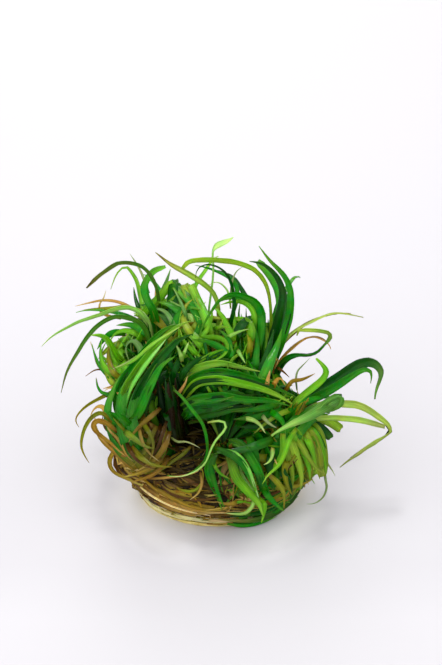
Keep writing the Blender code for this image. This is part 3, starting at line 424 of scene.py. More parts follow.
# The front, and the stems that cross the dark opening.
FRONT_SMALL = [
    ("tan", 1.5, 4, [(-16.8, 35), (-13, 40), (-12, 43.5)]),
    ("brown", 1.6, 3, [(-25.5, 36), (-24, 38.5), (-22, 40), (-21, 38)]),
    ("dark", 3.2, -1, [(-14, 34), (-11, 37), (-6, 39), (0, 39.5), (8, 39), (15, 37.5), (22, 35), (30, 32)]),
    ("dark", 3.2, 0, [(-14, 28), (-9, 28.5), (-4, 29.5), (2, 31), (8, 31.5), (14, 32)]),
    ("green", 2.4, 3, [(-9, 27), (-5, 28), (0, 28.5), (5, 30), (12, 31)]),
    ("pale", 1.8, 4, [(-14, 49), (-14.5, 52), (-16.5, 56)]),
    ("pale", 1.6, 4, [(-14, 51), (-12.8, 54), (-11.5, 57)]),
    ("dark", 2.8, 1, [(-16, 40), (-13, 46), (-8, 50), (-3, 52)]),
    ("dark", 2.6, 1, [(-18, 40), (-17, 46), (-14, 52), (-10, 56)]),
    ("grey", 0.9, 5, [(-18.5, 19.5), (-16, 17.5), (-13, 18), (-10, 17), (-7, 15.3)]),
    ("olive", 1.5, 5, [(-10.5, 16), (-13.5, 12.8), (-17, 10.5), (-20, 8), (-23, 6)]),
    ("dark", 2.2, 2, [(-21.5, 31), (-20, 27), (-18.7, 23), (-18.7, 19)]),
    ("golden", 1.9, 7, [(-22.5, 31), (-27, 27), (-31, 23.5), (-34, 20), (-35, 17.5)]),
    ("brown", 1.5, 3, [(-22.3, 25), (-23.8, 20), (-25.6, 15)]),
    ("brown", 1.6, 3, [(-28, 26), (-26.5, 22), (-25.5, 18)]),
]
# The lower front.
LOW_FRONT_SMALL = [
    ("green", 2.2, 5, [(0, 14), (-2.2, 10), (-2.6, 6), (-1.5, 2), (0.3, -3), (2.4, -8.4)]),
    ("bright", 1.5, 5, [(-2, 11), (-1.5, 9), (0, 6), (2, 4.5), (5, 3)]),
    ("green", 3.6, 4, [(22, 19), (15, 16), (8, 14.3), (2, 13.8), (-1.5, 13)]),
    ("dark", 3.2, 3, [(3, 16), (6, 10), (7, 4), (9, 0)]),
    ("bright", 4.0, 6, [(4, 13), (5.5, 9), (7, 4), (10, 0), (13.5, -3.5), (16.5, -7), (18, -12)]),
    ("pale", 1.6, 6, [(14, -3), (14, -6), (13, -8.5), (10.5, -10.8), (6, -10.8), (3, -10.4)]),
    ("pale", 1.6, 6, [(21.5, 15.5), (21.4, 12), (20, 9.6), (18, 8.7)]),
    ("pale", 1.8, 5, [(10, 27), (13.5, 26.5), (16.5, 24.5), (18.6, 21)]),
    ("grey", 1.6, 5, [(17, 28.5), (18.5, 26.5), (20.5, 24.5), (23, 23.2)]),
    ("green", 2.6, 5, [(20, 30), (24, 27.5), (26, 24.5), (26.5, 21)]),
    ("bright", 2.2, 6, [(31, 23), (28, 19), (26.5, 14), (25, 10), (22.5, 7), (19.5, 4.5), (17.5, 1)]),
    ("brown", 2.2, 2, [(33.5, 15.5), (30.5, 11.5), (27, 7), (24.7, 3.3)]),
    ("olive", 1.6, 3, [(32, 14.5), (29.5, 11), (27, 6.5)]),
    ("olive", 2.2, 6, [(19.5, 5), (22.7, 2.6), (25.6, -1.2), (26.4, -5), (26, -8.5)]),
    ("dark", 3.0, 3, [(23, 10), (26, 5), (28.5, 0), (28.5, -5)]),
    ("green", 2.4, 4, [(17, 0), (20, -4), (23.5, -7.5), (26, -9.5)]),
    ("bright", 2.0, 5, [(16, -4), (18.5, -7), (18, -11), (17, -14)]),
    ("green", 3.0, 7, [(-1, 15), (2, 14), (7, 12), (11, 7), (14, 0.5), (16.5, -5)]),
    # A painted highlight: a pale streak along the leaves beside it.
    ("wet", 1.5, 9, [(3, 15), (7, 14), (10, 10.5), (12.5, 6), (14.5, 0), (16, -4.5)], HIGHLIGHT_STREAK),
    ("green", 3.4, 4, [(12, 20), (14, 15), (15.5, 10), (15, 5)]),
    ("green", 3.2, 2, [(26, 30), (20, 28.5), (13, 27), (6, 26.5)]),
    ("dark", 3.4, 1, [(28, 27), (22, 25), (15, 23.5), (8, 23.5)]),
    ("green", 2.8, 3, [(24, 33), (18, 31), (11, 30), (5, 29.5)]),
    ("lime", 2.2, 3, [(30, 31), (25, 29), (19, 25.5), (14, 21)]),
    ("dark", 3.2, 2, [(22, 16), (20, 10), (20.5, 4), (22.5, -2)]),
    ("olive", 2.6, 3, [(28, 14), (26, 8), (26.5, 2), (29, -3)]),
    ("tan", 1.2, 3, [(-7, 6), (-6.2, 3), (-6.5, 0), (-8, -3), (-11, -5)]),
    ("golden", 2.0, 3, [(9, -5), (5, -7), (0, -6)]),
    ("pale", 1.0, 8, [(-4, 25.3), (0, 26.2), (3, 25.5), (3.3, 23.5), (2, 21.5), (-0.5, 19), (-2.5, 15.5),
     (-3.8, 12), (-5, 9), (-8.5, 6), (-12, 4.5), (-16, 3.8), (-19, 4.2)]),
]
SMALL_LEAVES = {
    "crown_left_top": LEFT_TOP_SMALL,
    "crown_centre": CENTRE_SMALL,
    "crown_front_left": FRONT_LEFT_SMALL,
    "crown_right": RIGHT_SMALL,
    "crown_right_top": RIGHT_TOP_SMALL,
    "crown_front": FRONT_SMALL,
    "crown_low_front": LOW_FRONT_SMALL,
}

TILT = math.radians(VIEW_TILT)
RIGHT = np.array((1.0, 0.0, 0.0))
UP = np.array((0.0, math.sin(TILT), math.cos(TILT)))
TOWARDS = np.array((0.0, -math.cos(TILT), math.sin(TILT)))
VIEWER = RIGHT * VIEW_CENTRE[0] + UP * VIEW_CENTRE[1] + TOWARDS * VIEW_DISTANCE


def from_view(uv, depth):
    """The places of points seen at uv, depth mm nearer to the viewer than the pad's centre."""
    drawn = uv[..., :1] * RIGHT + uv[..., 1:] * UP
    return drawn + (VIEWER - drawn) * (depth / VIEW_DISTANCE)[..., None]


def to_view(places):
    """The uv and depth at which places are seen."""
    depth = places @ TOWARDS
    share = (depth / VIEW_DISTANCE)[..., None]
    drawn = (places - VIEWER * share) / (1 - share)
    return np.stack((drawn @ RIGHT, drawn @ UP), axis=-1), depth


def depth_at(uv, back):
    """The depth of points seen at uv that lie back mm behind the pad's centre."""
    drawn_back = uv[..., 1] * UP[1]
    return VIEW_DISTANCE * (back - drawn_back) / (VIEWER[1] - drawn_back)


def evenly(points, count):
    """The same route with count points, spaced evenly along it."""
    lengths = np.linalg.norm(np.diff(points, axis=0), axis=1)
    walked = np.concatenate(([0.0], np.cumsum(lengths)))
    wanted = np.linspace(0.0, walked[-1], count)
    return np.stack([np.interp(wanted, walked, column) for column in points.T], axis=-1)


def rounded(points):
    """A route whose corners are cut three times, with its ends kept."""
    for _ in range(3):
        near = points[:-1] * 0.75 + points[1:] * 0.25
        far = points[:-1] * 0.25 + points[1:] * 0.75
        cut = np.stack((near, far), axis=1).reshape(-1, points.shape[1])
        points = np.vstack((points[:1], cut, points[-1:]))
    return points


def smooth_route(route, steps=ROUTE_STEPS):
    """The uv of points spaced evenly along a drawn route."""
    return evenly(rounded(np.array(route, float)), steps)


def drawn_route(leaf):
    """uv and depth along a leaf that is drawn as it is seen."""
    uv = smooth_route(leaf.route)
    along = np.linspace(0.0, 1.0, ROUTE_STEPS)
    back = np.interp(along, (0.0, 0.5, 1.0), leaf.back)
    return uv, depth_at(uv, back)


def crown_top(crown):
    """The middle of a crown's top."""
    seen = np.array(crown.top, float)
    return from_view(seen[:2], depth_at(seen[:2], seen[2]))


def crown_foot(crown):
    """The middle of a crown's foot, just clear of the mat."""
    x, y = crown.foot
    spread = max(CROWN_HALF_WIDTH, crown.half_depth * 0.7)
    radius = turned_radius(np.array((x, y)))
    return np.array((x, y, mat_height(radius - spread) + 2 * GAP))


def arc_places(start, heading, lean, bend, length, steps):
    """A line that rises from its start and bends over towards its heading."""
    along = np.linspace(0.0, 1.0, steps)
    angle = np.radians(lean + bend * along ** 1.2)
    step = length / (steps - 1)
    out = np.concatenate(([0.0], np.cumsum(np.sin(angle[:-1])))) * step
    rise = np.concatenate(([0.0], np.cumsum(np.cos(angle[:-1])))) * step
    return start + np.stack((out * math.cos(heading), out * math.sin(heading), rise), axis=-1)


def arc_route(arc, crown):
    """uv and depth along a leaf that rises from its crown and bends over towards its heading."""
    heading = math.radians(arc.heading)
    away = CROWN_HALF_WIDTH * (0.6 if arc.lift > 0 else 1.5)
    start = crown_top(crown) + (away * math.cos(heading), away * math.sin(heading), arc.lift)
    return to_view(arc_places(start, heading, arc.lean, arc.bend, arc.length, ROUTE_STEPS))


def turned_radius(places):
    """How far places are from the middle of the pad and the mat, as if their front weren't flattened."""
    back = places[..., 1]
    return np.hypot(places[..., 0], np.where(back < 0, back / FRONT_FLAT, back))


def mat_height(radius):
    """The height of the mat's top, so far from its middle."""
    radii, heights = np.array([(0.0, MAT_TOP)] + MAT_PROFILE[:3:-1]).T
    return np.interp(radius, radii, heights)


def mat_side(height):
    """The mat's and the pad's radius at a height."""
    radii, heights = np.array([(PAD_RADIUS, 0.0), (PAD_RADIUS, PAD_HEIGHT)] + MAT_PROFILE).T
    return np.interp(height, heights, radii)


def body_depth(places):
    """How deep each place is inside the pad and the mat with their margin; negative outside."""
    radius = turned_radius(places)
    height = places[..., 2]
    side = mat_side(height) + MAT_CLEAR - radius
    return np.minimum(side, mat_height(radius) + MAT_CLEAR - height)


def settle(uv, depth, width, spread, home, crowns):
    """Move the leaves apart along the line of sight, so that each keeps the outline that is seen.

    spread is how much of its width each leaf turns towards the viewer, and home is the number of its
    crown, or -1 for a leaf that has none.
    """
    count, steps = depth.shape
    owner = np.repeat(np.arange(count), steps)
    flat_uv = uv.reshape(-1, 2)
    half = np.repeat(width / 2, steps)
    turned = half * np.repeat(spread, steps)
    crossing = np.linalg.norm(flat_uv[:, None] - flat_uv[None], axis=-1) < half[:, None] + half + GAP
    crossing &= owner[:, None] != owner
    needed = SETTLE_CLEAR + turned[:, None] + turned
    order = np.sign(owner[:, None] - owner)

    share = np.linspace(0.0, 1.0, 8)[:, None]
    posts = [crown_foot(crown) * (1 - share) + crown_top(crown) * share for crown in crowns]
    post_uv, post_depth = to_view(np.concatenate(posts))
    post_owner = np.repeat(np.arange(len(crowns)), len(share))
    post_thick = np.repeat([crown.half_depth for crown in crowns], len(share))
    blocked = (np.linalg.norm(flat_uv[:, None] - post_uv, axis=-1)
               < half[:, None] + CROWN_HALF_WIDTH + GAP)
    early = np.tile(np.arange(steps) < steps // 4, count)
    blocked &= ~((home[owner][:, None] == post_owner) & early[:, None])
    post_needed = post_thick + SETTLE_CLEAR / 2 + turned[:, None]

    rooted = home >= 0
    top_depth = to_view(np.array([crown_top(crown) for crown in crowns]))[1][home]
    seat = np.array([crown.half_depth - 1.0 for crown in crowns])[home]
    first = depth.copy()
    for _ in range(SETTLE_ROUNDS):
        flat = depth.reshape(-1)
        apart = flat[:, None] - flat
        missing = np.where(crossing, np.maximum(needed - np.abs(apart), 0.0), 0.0)
        sense = np.where(np.abs(apart) < 0.05, order, np.sign(apart))
        push = np.where(sense > 0, missing, 0.0).max(axis=1) / 2
        push -= np.where(sense < 0, missing, 0.0).max(axis=1) / 2

        from_post = flat[:, None] - post_depth
        short = np.where(blocked, np.maximum(post_needed - np.abs(from_post), 0.0), 0.0)
        push += np.where(from_post > 0, short, 0.0).max(axis=1)
        push -= np.where(from_post <= 0, short, 0.0).max(axis=1)
        push = push.reshape(count, steps)

        places = from_view(uv, depth)
        sunk = np.maximum(body_depth(places), 0.0)
        push += np.where(places[..., 1] > 0, -sunk, sunk)
        push += np.maximum(FLOOR_CLEAR - places[..., 2], 0.0)
        moved = depth - first + np.clip(push, -SETTLE_MOST, SETTLE_MOST) * SETTLE_STEP
        padded = np.pad(moved, ((0, 0), (1, 1)), mode="edge")
        depth = first + padded[:, :-2] * 0.25 + padded[:, 1:-1] * 0.5 + padded[:, 2:] * 0.25
        seated = np.clip(depth[:, 0], top_depth - seat, top_depth + seat)
        depth[:, 0] = np.where(rooted, seated, depth[:, 0])
    return depth


def unit(vectors):
    """The same directions, each with a length of 1."""
    return vectors / np.maximum(np.linalg.norm(vectors, axis=-1, keepdims=True), 1e-9)


def across(places, face, twist):
    """The direction of a leaf's width at each place, and of its upper face.

    The face starts as near as it can to the direction given, is carried along without turning about the
    leaf, and is then turned by the twist, in degrees at the foot and at the tip.
    """
    along = unit(np.gradient(places, axis=0))
    upper = []
    for direction in along:
        face = unit(face - direction * (face @ direction))
        upper.append(face)
    upper = np.array(upper)
    side = np.cross(along, upper)
    turn = np.radians(np.linspace(*twist, len(places)))[:, None]
    return side * np.cos(turn) + upper * np.sin(turn), upper * np.cos(turn) - side * np.sin(turn)


def linear(code):
    """An sRGB hex colour as linear red, green and blue."""
    values = np.array([int(code[i:i + 2], 16) for i in (0, 2, 4)]) / 255.0
    return np.where(values <= 0.04045, values / 12.92, ((values + 0.055) / 1.055) ** 2.4)


# The colours of a leaf at its foot, along most of it and at its tip.
TONES = {
    "dark": ("144c04", "085e02", "40801a"),
    "green": ("48880e", "24920a", "6cae26"),
    "bright": ("90b028", "74bc1c", "a8d244"),
    "pale": ("bcc45a", "a4d26a", "d4e69c"),
    "olive": ("947618", "909616", "b8a034"),
    "golden": ("7c5612", "b29228", "d8c262"),
    "tan": ("8c641a", "c6a44a", "e4d084"),
    "brown": ("3e260c", "6c4a16", "8e6e2c"),
    "grey": ("76883a", "9aac6c", "bac898"),
    "sheath": ("a8861e", "349212", "66ac24"),
    "root": ("d8cc80", "f4ecb0", "f8f2cc"),
    "kinked": ("2c6a0c", "1c7a0a", "b4cc50"),
    "arch": ("2c6a0c", "508620", "7c8436"),
    # Painted sheen: grey-green, as light reflects off a wet leaf.
    "mist": ("4c7c2c", "68a048", "94c06c"),
    "hook": ("1c5e04", "0c5a04", "84b050"),
    "folded": ("3c7c1c", "68a040", "a8d068"),
    "straw": ("5c8c18", "8cae30", "a8a044"),
    # Painted light: lighter, as where light falls on a leaf; also used for pale highlight streaks.
    "lit": ("6cac28", "8cc83c", "b8dc68"),
    "yellow": ("3c7414", "a4c434", "c8dc58"),
    "lime": ("5c8c18", "94b42c", "a4b43c"),
    "faded": ("7cac34", "b0ca58", "9ca45c"),
    "rim": ("b4a654", "3c6c14", "28580e"),
    # Painted highlight: the pale streaks where light glints along wet leaves.
    "wet": ("2c8a0c", "8cd45c", "c4ec9c"),
}
OLD_TONES = ("golden", "tan", "brown", "olive")


def rng_for(name):
    """Random numbers of its own for each piece, the same in each run."""
    return np.random.default_rng(zlib.crc32(name.encode()))


# How much of a leaf the colour of its foot takes up, from its least to its most, mostly and for some tones.
USUAL_FOOT_PART = (0.12, 0.3)
FOOT_PARTS = {"sheath": (0.2, 0.34), "rim": (0.4, 0.45)}
# How far along a leaf the colour of its tip begins, from its least to its most, mostly and for some tones.
USUAL_TIP_START = (0.6, 0.85)
TIP_STARTS = {"kinked": (0.55, 0.6), "hook": (0.62, 0.66), "folded": (0.5, 0.55)}


def tint(tone, along, rng, vary):
    """The colour of each point of a leaf, by how far along the leaf it is."""
    foot, body, tip = (linear(code) for code in TONES[tone])
    brown_part = rng.uniform(*FOOT_PARTS.get(tone, USUAL_FOOT_PART))
    foot_share = np.clip(1.0 - along / brown_part, 0.0, 1.0)[:, None]
    tip_start = rng.uniform(*TIP_STARTS.get(tone, USUAL_TIP_START))
    tip_share = np.clip((along - tip_start) / 0.3, 0.0, 1.0)[:, None]
    colour = body * (1.0 - foot_share) + foot * foot_share
    colour = colour * (1.0 - tip_share) + tip * tip_share
    colour = colour * rng.uniform(1.0 - vary, 1.0 + vary) * rng.uniform(0.93, 1.07, 3)
    return np.concatenate((colour, np.ones((len(along), 1))), axis=1)


def tinted(tone, rng, vary=0.14, shade=1.0):
    """What gives a leaf its colours, so much darker than its tone."""
    return lambda along: tint(tone, along, rng, vary) * shade


def any_twist(rng, foot, tip):
    """A twist at the foot and at the tip, each up to so many degrees either way."""
    return rng.uniform(-foot, foot), rng.uniform(-tip, tip)


# The wet, light leaves and the painted highlights and sheen, which the painted shade in the hollow under the
# front bundle leaves as bright as the others.
LIGHT_TONES = ("wet", "pale", "mist", "lit", "folded", "grey")
# The middle of that hollow and half its width and height as they are seen, the darkest painted shade there,
# and how far back it reaches.
HOLLOW_MIDDLE = (-8.0, 20.0)
HOLLOW_REACH = (36.0, 24.0)
HOLLOW_SHADE = 0.5
HOLLOW_BACK = 6.0


def hollow_painted_shade(tone, places, along):
    """The painted shade of each point of a leaf: how much darker it is where it grows in the hollow under the
    front bundle.
    """
    far = np.linalg.norm((to_view(places)[0] - HOLLOW_MIDDLE) / np.array(HOLLOW_REACH), axis=1)
    shade = HOLLOW_SHADE + (1.0 - HOLLOW_SHADE) * np.clip(far / 0.5 - 1.0, 0.0, 1.0)
    shade = np.where((places[:, 1] > HOLLOW_BACK) | (tone in LIGHT_TONES), 1.0, shade)
    return np.interp(along, np.linspace(0.0, 1.0, len(shade)), shade)[:, None]


def as_mesh(built, name):
    """A mesh of what was built."""
    mesh = bpy.data.meshes.new(name)
    built.to_mesh(mesh)
    built.free()
    return mesh


def make_strip(segments, columns):
    """A flat strip, which each blade bends along its route."""
    strip = bmesh.new()
    strip.loops.layers.uv.new("Blade")
    bmesh.ops.create_grid(strip, x_segments=segments, y_segments=columns, size=1.0, calc_uvs=True)
    strip.verts.ensure_lookup_table()
    spots = np.array([vert.co for vert in strip.verts])
    mesh = as_mesh(strip, "strip")
    return Template(mesh, (spots[:, 0] + 1.0) / 2.0, spots[:, 1], np.zeros(len(spots)))


def make_stalk(segments, sides):
    """A round closed stalk, which each root and stem bends along its route."""
    stalk = bmesh.new()
    bmesh.ops.create_cone(stalk, cap_ends=True, segments=sides, radius1=1.0, radius2=1.0, depth=2.0)
    upright = [edge for edge in stalk.edges if abs(edge.verts[0].co.z - edge.verts[1].co.z) > 1.0]
    bmesh.ops.subdivide_edges(stalk, edges=upright, cuts=segments - 1, use_grid_fill=True)
    stalk.verts.ensure_lookup_table()
    spots = np.array([vert.co for vert in stalk.verts])
    mesh = as_mesh(stalk, "stalk")
    return Template(mesh, (spots[:, 2] + 1.0) / 2.0, spots[:, 0], spots[:, 1])


WIDE_STRIP = make_strip(40, 6)
STRIP = make_strip(18, 2)
SHORT_STRIP = make_strip(10, 2)
STALK = make_stalk(12, 5)
HAIR = make_stalk(9, 3)
# The least share of its width that a leaf keeps at its foot; towards its tip it is less.
BLUNT = 0.1
# No point of a leaf or a root lies lower than this.
LOWEST = 0.15


def bent(template, route, face, twist):
    """The length of a route, and for each point of a template its place, side and upper direction there."""
    steps = len(np.unique(template.along.round(6)))
    places = evenly(route, steps)
    side, upper = across(places, face, twist)
    index = np.rint(template.along * (steps - 1)).astype(int)
    length = np.linalg.norm(np.diff(places, axis=0), axis=1).sum()
    return length, places[index], side[index], upper[index]


class Tuft:
    """Blades and stalks that are joined into one mesh."""

    def __init__(self):
        self.mesh = bmesh.new()
        self.places = []
        self.tints = []

    def blade(self, strip, places, face, twist, width, tints, rng, fold=0.42, foot=0.62, stops=None):
        """A leaf along a route: folded along its midrib, wavy at its edges and pointed at its tip."""
        length, middle, side, upper = bent(strip, places, face, twist)
        along, over = strip.along, strip.across
        if stops:
            broad = np.interp(along, *np.array(stops, float).T)
        else:
            widening = foot + (1.0 - foot) * np.minimum(along / 0.25, 1.0)
            broad = widening * np.maximum(1.0 - along ** 2.0, 0.0) ** 0.8
        half = width / 2 * np.maximum(broad, BLUNT * (1.0 - 0.6 * along))
        keel = fold * half * (np.abs(over) ** 1.4 - 1.0)
        waves = rng.uniform(0.5, 1.1) * length / 6.0
        ripple = 0.07 * half * over * np.sin(math.tau * (waves * along + rng.uniform()) + over * 0.9)
        sway = 0.1 * width * np.sin(math.tau * (waves * 0.37 * along + rng.uniform()))
        out = keel + ripple + sway * np.minimum(along * 4.0, 1.0)
        self.mesh.from_mesh(strip.mesh)
        self.places.append(middle + side * (over * half)[:, None] + upper * out[:, None])
        self.tints.append(tints(along))

    def stalk(self, stalk, places, width, tints, taper=0.6):
        """A root or a stem along a route."""
        _, middle, side, upper = bent(stalk, places, np.array((0.12, 0.2, 1.0)), (0.0, 0.0))
        half = (width / 2 * (1.0 - taper * stalk.along))[:, None]
        self.mesh.from_mesh(stalk.mesh)
        self.places.append(middle + (side * stalk.across[:, None] + upper * stalk.out[:, None]) * half)
        self.tints.append(tints(stalk.along))

    def finish(self, name, material, nodes, thickness=0.0):
        """Join what was added into one piece, which stands for the nodes."""
        mesh = as_mesh(self.mesh, name)
        places = np.concatenate(self.places)
        places[:, 2] = np.maximum(places[:, 2], LOWEST)
        mesh.vertices.foreach_set("co", (places * MM).ravel())
        colour = mesh.color_attributes.new("Tint", "FLOAT_COLOR", "POINT")
        colour.data.foreach_set("color", np.concatenate(self.tints).astype(np.float32).ravel())
        mesh.update()
        mesh.shade_smooth()
        add_piece(name, mesh, material, nodes, thickness)


def add_piece(name, mesh, material, nodes, thickness=0.0):
    """A piece of the clump that rides on it and stands for the nodes."""
    mesh.materials.append(material)
    piece = bpy.data.objects.new(name, mesh)
    bpy.context.scene.collection.objects.link(piece)
    if thickness:
        wall = piece.modifiers.new("Thickness", "SOLIDIFY")
        wall.thickness = thickness * MM
        wall.offset = 0.0
    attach(piece, "root")
    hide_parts(*nodes)


def add_node(tree, kind, settings=None, inputs=None):
    """Add a node with its settings, and give its inputs values or links.

    A node that is given as a value stands for its first output.
    """
    made = tree.nodes.new("ShaderNode" + kind)
    for name, value in (settings or {}).items():
        setattr(made, name, value)
    for name, value in (inputs or {}).items():
        if isinstance(value, bpy.types.Node):
            value = value.outputs[0]
        if isinstance(value, bpy.types.NodeSocket):
            tree.links.new(value, made.inputs[name])
        else:
            made.inputs[name].default_value = value
    return made


def new_material(name):
    """A material and its empty tree."""
    material = bpy.data.materials.new(name)
    material.use_nodes = True
    tree = material.node_tree
    tree.nodes.clear()
    return material, tree


# How many veins a leaf has across its width, and the colour of its stains.
VEINS = 7.0
STAIN = "5b3a12"
# The sizes of a leaf's stains and of the grain between its veins.
BLOTCH_MM = 5.8824
GRAIN_MM = 11.111
# The range that most of a pattern's values lie in.
MOST = {"From Min": 0.3, "From Max": 0.7}


def leaf_material(name, rough, coat, through, stain, mottle_mm=3.0):
    """A wet leaf: veins run along it, its colour is mottled, its midrib is paler, partly as a painted
    highlight, and some light comes through it.
    """
    material, tree = new_material(name)
    colour = add_node(tree, "Attribute", {"attribute_name": "Tint"}).outputs["Color"]
    spot = add_node(tree, "TexCoord").outputs["Object"]
    blade = add_node(tree, "UVMap", {"uv_map": "Blade"})
    split = add_node(tree, "SeparateXYZ", inputs={"Vector": blade})
    phase = add_node(tree, "Math", {"operation": "MULTIPLY"}, {0: split.outputs["Y"], 1: math.tau * VEINS})
    vein = add_node(tree, "Math", {"operation": "COSINE"}, {0: phase})
    stretched = add_node(tree, "Mapping", inputs={"Vector": blade, "Scale": (2.2, 9.0, 1.0)})
    mixed = add_node(tree, "VectorMath", {"operation": "MULTIPLY_ADD"},
                     {0: spot, 1: (1000.0 / GRAIN_MM,) * 3, 2: stretched})
    streak = add_node(tree, "TexNoise", inputs={"Vector": mixed, "Scale": 1.0, "Detail": 3.0})
    mottle = add_node(tree, "TexNoise", inputs={"Vector": spot, "Scale": 1000.0 / mottle_mm, "Detail": 2.0})
    value = add_node(tree, "MapRange", inputs={"Value": streak, **MOST, "To Min": 0.8, "To Max": 1.3})
    ribs = add_node(tree, "Math", {"operation": "MULTIPLY_ADD"}, {0: vein, 1: 0.12, 2: value})
    # Paler along the midrib and darker to the edges: partly the leaf's own pale midrib and margins, partly a
    # painted highlight along its ridge.
    from_midrib = add_node(tree, "Math", {"operation": "PINGPONG"}, {0: split.outputs["Y"], 1: 0.5})
    margin = add_node(tree, "MapRange", inputs={
        "Value": from_midrib, "From Min": 0.0, "From Max": 0.5, "To Min": 0.76, "To Max": 1.14})
    ribbed = add_node(tree, "Math", {"operation": "MULTIPLY"}, {0: ribs, 1: margin})
    hue = add_node(tree, "MapRange", inputs={"Value": mottle, **MOST, "To Min": 0.485, "To Max": 0.512})
    turned = add_node(tree, "HueSaturation", inputs={
        "Hue": hue, "Saturation": 1.0, "Value": ribbed, "Fac": 1.0, "Color": colour})
    blotch = add_node(tree, "TexNoise", inputs={"Vector": spot, "Scale": 1000.0 / BLOTCH_MM, "Detail": 3.0})
    stained = add_node(tree, "MapRange", inputs={
        "Value": blotch, "From Min": 0.56, "From Max": 0.7, "To Min": 0.0, "To Max": stain})
    painted = add_node(tree, "Mix", {"data_type": "RGBA"},
                       {0: stained, 6: turned, 7: (*linear(STAIN), 1.0)}).outputs[2]
    height = add_node(tree, "Math", {"operation": "MULTIPLY_ADD"}, {0: vein, 1: 0.35, 2: streak})
    bump = add_node(tree, "Bump", inputs={"Strength": 0.6, "Distance": 0.2 * MM, "Height": height})
    gloss = add_node(tree, "MapRange", inputs={
        "Value": mottle, **MOST, "To Min": rough - 0.08, "To Max": rough + 0.12})
    skin = add_node(tree, "BsdfPrincipled", inputs={
        "Base Color": painted, "Roughness": gloss, "IOR": 1.4, "Specular IOR Level": 0.22,
        "Coat Weight": coat, "Coat Roughness": 0.14, "Coat IOR": 1.33, "Normal": bump})
    glow = add_node(tree, "HueSaturation", inputs={
        "Hue": 0.495, "Saturation": 1.1, "Value": 1.5, "Fac": 1.0, "Color": painted})
    light_through = add_node(tree, "BsdfTranslucent", inputs={"Color": glow, "Normal": bump})
    both = add_node(tree, "MixShader", inputs={0: through, 1: skin, 2: light_through})
    add_node(tree, "OutputMaterial", inputs={"Surface": both})
    return material


def matted_material(name, light, dark, grain_mm, rough, coat):
    """Rotted leaves and roots pressed together: patches and fibres of two colours, wet in places."""
    material, tree = new_material(name)
    spot = add_node(tree, "TexCoord").outputs["Object"]
    patches = add_node(tree, "TexNoise", inputs={
        "Vector": spot, "Scale": 1000.0 / grain_mm, "Detail": 4.0, "Distortion": 0.6})
    squashed = add_node(tree, "Mapping", inputs={"Vector": spot, "Scale": (1.0, 1.0, 3.5)})
    fibres = add_node(tree, "TexNoise", inputs={
        "Vector": squashed, "Scale": 2200.0 / grain_mm, "Detail": 3.0, "Distortion": 1.2})
    share = add_node(tree, "Math", {"operation": "MULTIPLY"}, {0: patches, 1: fibres})
    blend = add_node(tree, "MapRange", inputs={
        "Value": share, "From Min": 0.14, "From Max": 0.42, "To Min": 0.0, "To Max": 1.0})
    colour = add_node(tree, "Mix", {"data_type": "RGBA"},
                      {0: blend, 6: (*linear(dark), 1.0), 7: (*linear(light), 1.0)}).outputs[2]
    bump = add_node(tree, "Bump", inputs={"Strength": 0.7, "Distance": 0.5 * MM, "Height": fibres})
    skin = add_node(tree, "BsdfPrincipled", inputs={
        "Base Color": colour, "Roughness": rough, "Coat Weight": coat, "Coat Roughness": 0.15,
        "Normal": bump})
    add_node(tree, "OutputMaterial", inputs={"Surface": skin})
    return material


# A fresh leaf is thin and wet, so it is glossy and lets light through.
FRESH_LEAF = leaf_material("wet fresh leaf", rough=0.22, coat=0.3, through=0.4, stain=0.12)
# An old leaf is soft and waterlogged, duller, and stained brown.
OLD_LEAF = leaf_material("wet old leaf", rough=0.3, coat=0.25, through=0.38, stain=0.4, mottle_mm=2.0)
# A root is a pale, smooth, wet thread.
ROOT = leaf_material("wet root", rough=0.32, coat=0.2, through=0.35, stain=0.15, mottle_mm=2.5)
# The rot between the old leaves is dark and damp, and painted near black as the shade in the gaps between
# them.
ROT_AND_SHADE = matted_material("damp rotted leaf", "20120a", "0a0502", grain_mm=2.5, rough=0.8, coat=0.0)
# The culture gel round the roots is wet and cloudy.
GEL = matted_material("culture gel with roots", "ecdc8c", "c4ac4a", grain_mm=3.0, rough=0.35, coat=0.3)

# How many thinner leaves lie beside a leaf, or beside one that has curled up, and how dark their painted
# shade makes them.
COMPANIONS = 5
FEW_COMPANIONS = 2
COMPANION_SHADE = 0.7
# How far they part from it sideways and away from the viewer, and their least length for its own.
COMPANION_SPREAD = 1.6
COMPANION_DEPTH = 3.0
COMPANION_LENGTH = 0.55
# How many leaf bases each crown has, how many short leaves, and how many leaves the clump has in all.
SHEATHS = 22
SHORT_LEAVES = 44
CLUMP_LEAVES = 850
# How thick a drawn leaf is, and a small one.
LEAF_THICKNESS = 0.22
SMALL_THICKNESS = 0.2
# How much deeper than the rest of it a small leaf's foot lies.
SMALL_BURIED = 4.0
# Where the leaves spread from, as it is seen.
CLUMP_MIDDLE = (2.0, 24.0)
# The dark opening in the middle of the front, which few leaves cross.
OPENING = [(-23, 35), (-14, 33), (-7, 28), (-3, 24), (4, 26), (9, 24), (16, 21), (8, 18), (-1, 18),
           (-4, 13), (-8, 9), (-9, 4), (-17, 3), (-19, 9), (-13, 15), (-19, 19), (-22, 27)]


def dome_back(uv):
    """How far back the front of the clump lies where it is seen at uv."""
    heights, backs = np.array(DOME, float).T
    aside = (uv[..., 0] - VIEW_CENTRE[0]) / DOME_HALF_WIDTH
    return np.interp(uv[..., 1], heights, backs) + DOME_BEND * aside ** 2


def inside(uv, outline):
    """Whether each point lies inside the outline."""
    outline = np.array(outline, float)
    found = np.zeros(uv.shape[:-1], bool)
    for (x0, y0), (x1, y1) in zip(outline, np.roll(outline, -1, axis=0)):
        rises = (y0 > uv[..., 1]) != (y1 > uv[..., 1])
        cut = x0 + (uv[..., 1] - y0) / (y1 - y0 if y1 != y0 else 1.0) * (x1 - x0)
        found ^= rises & (uv[..., 0] < cut)
    return found


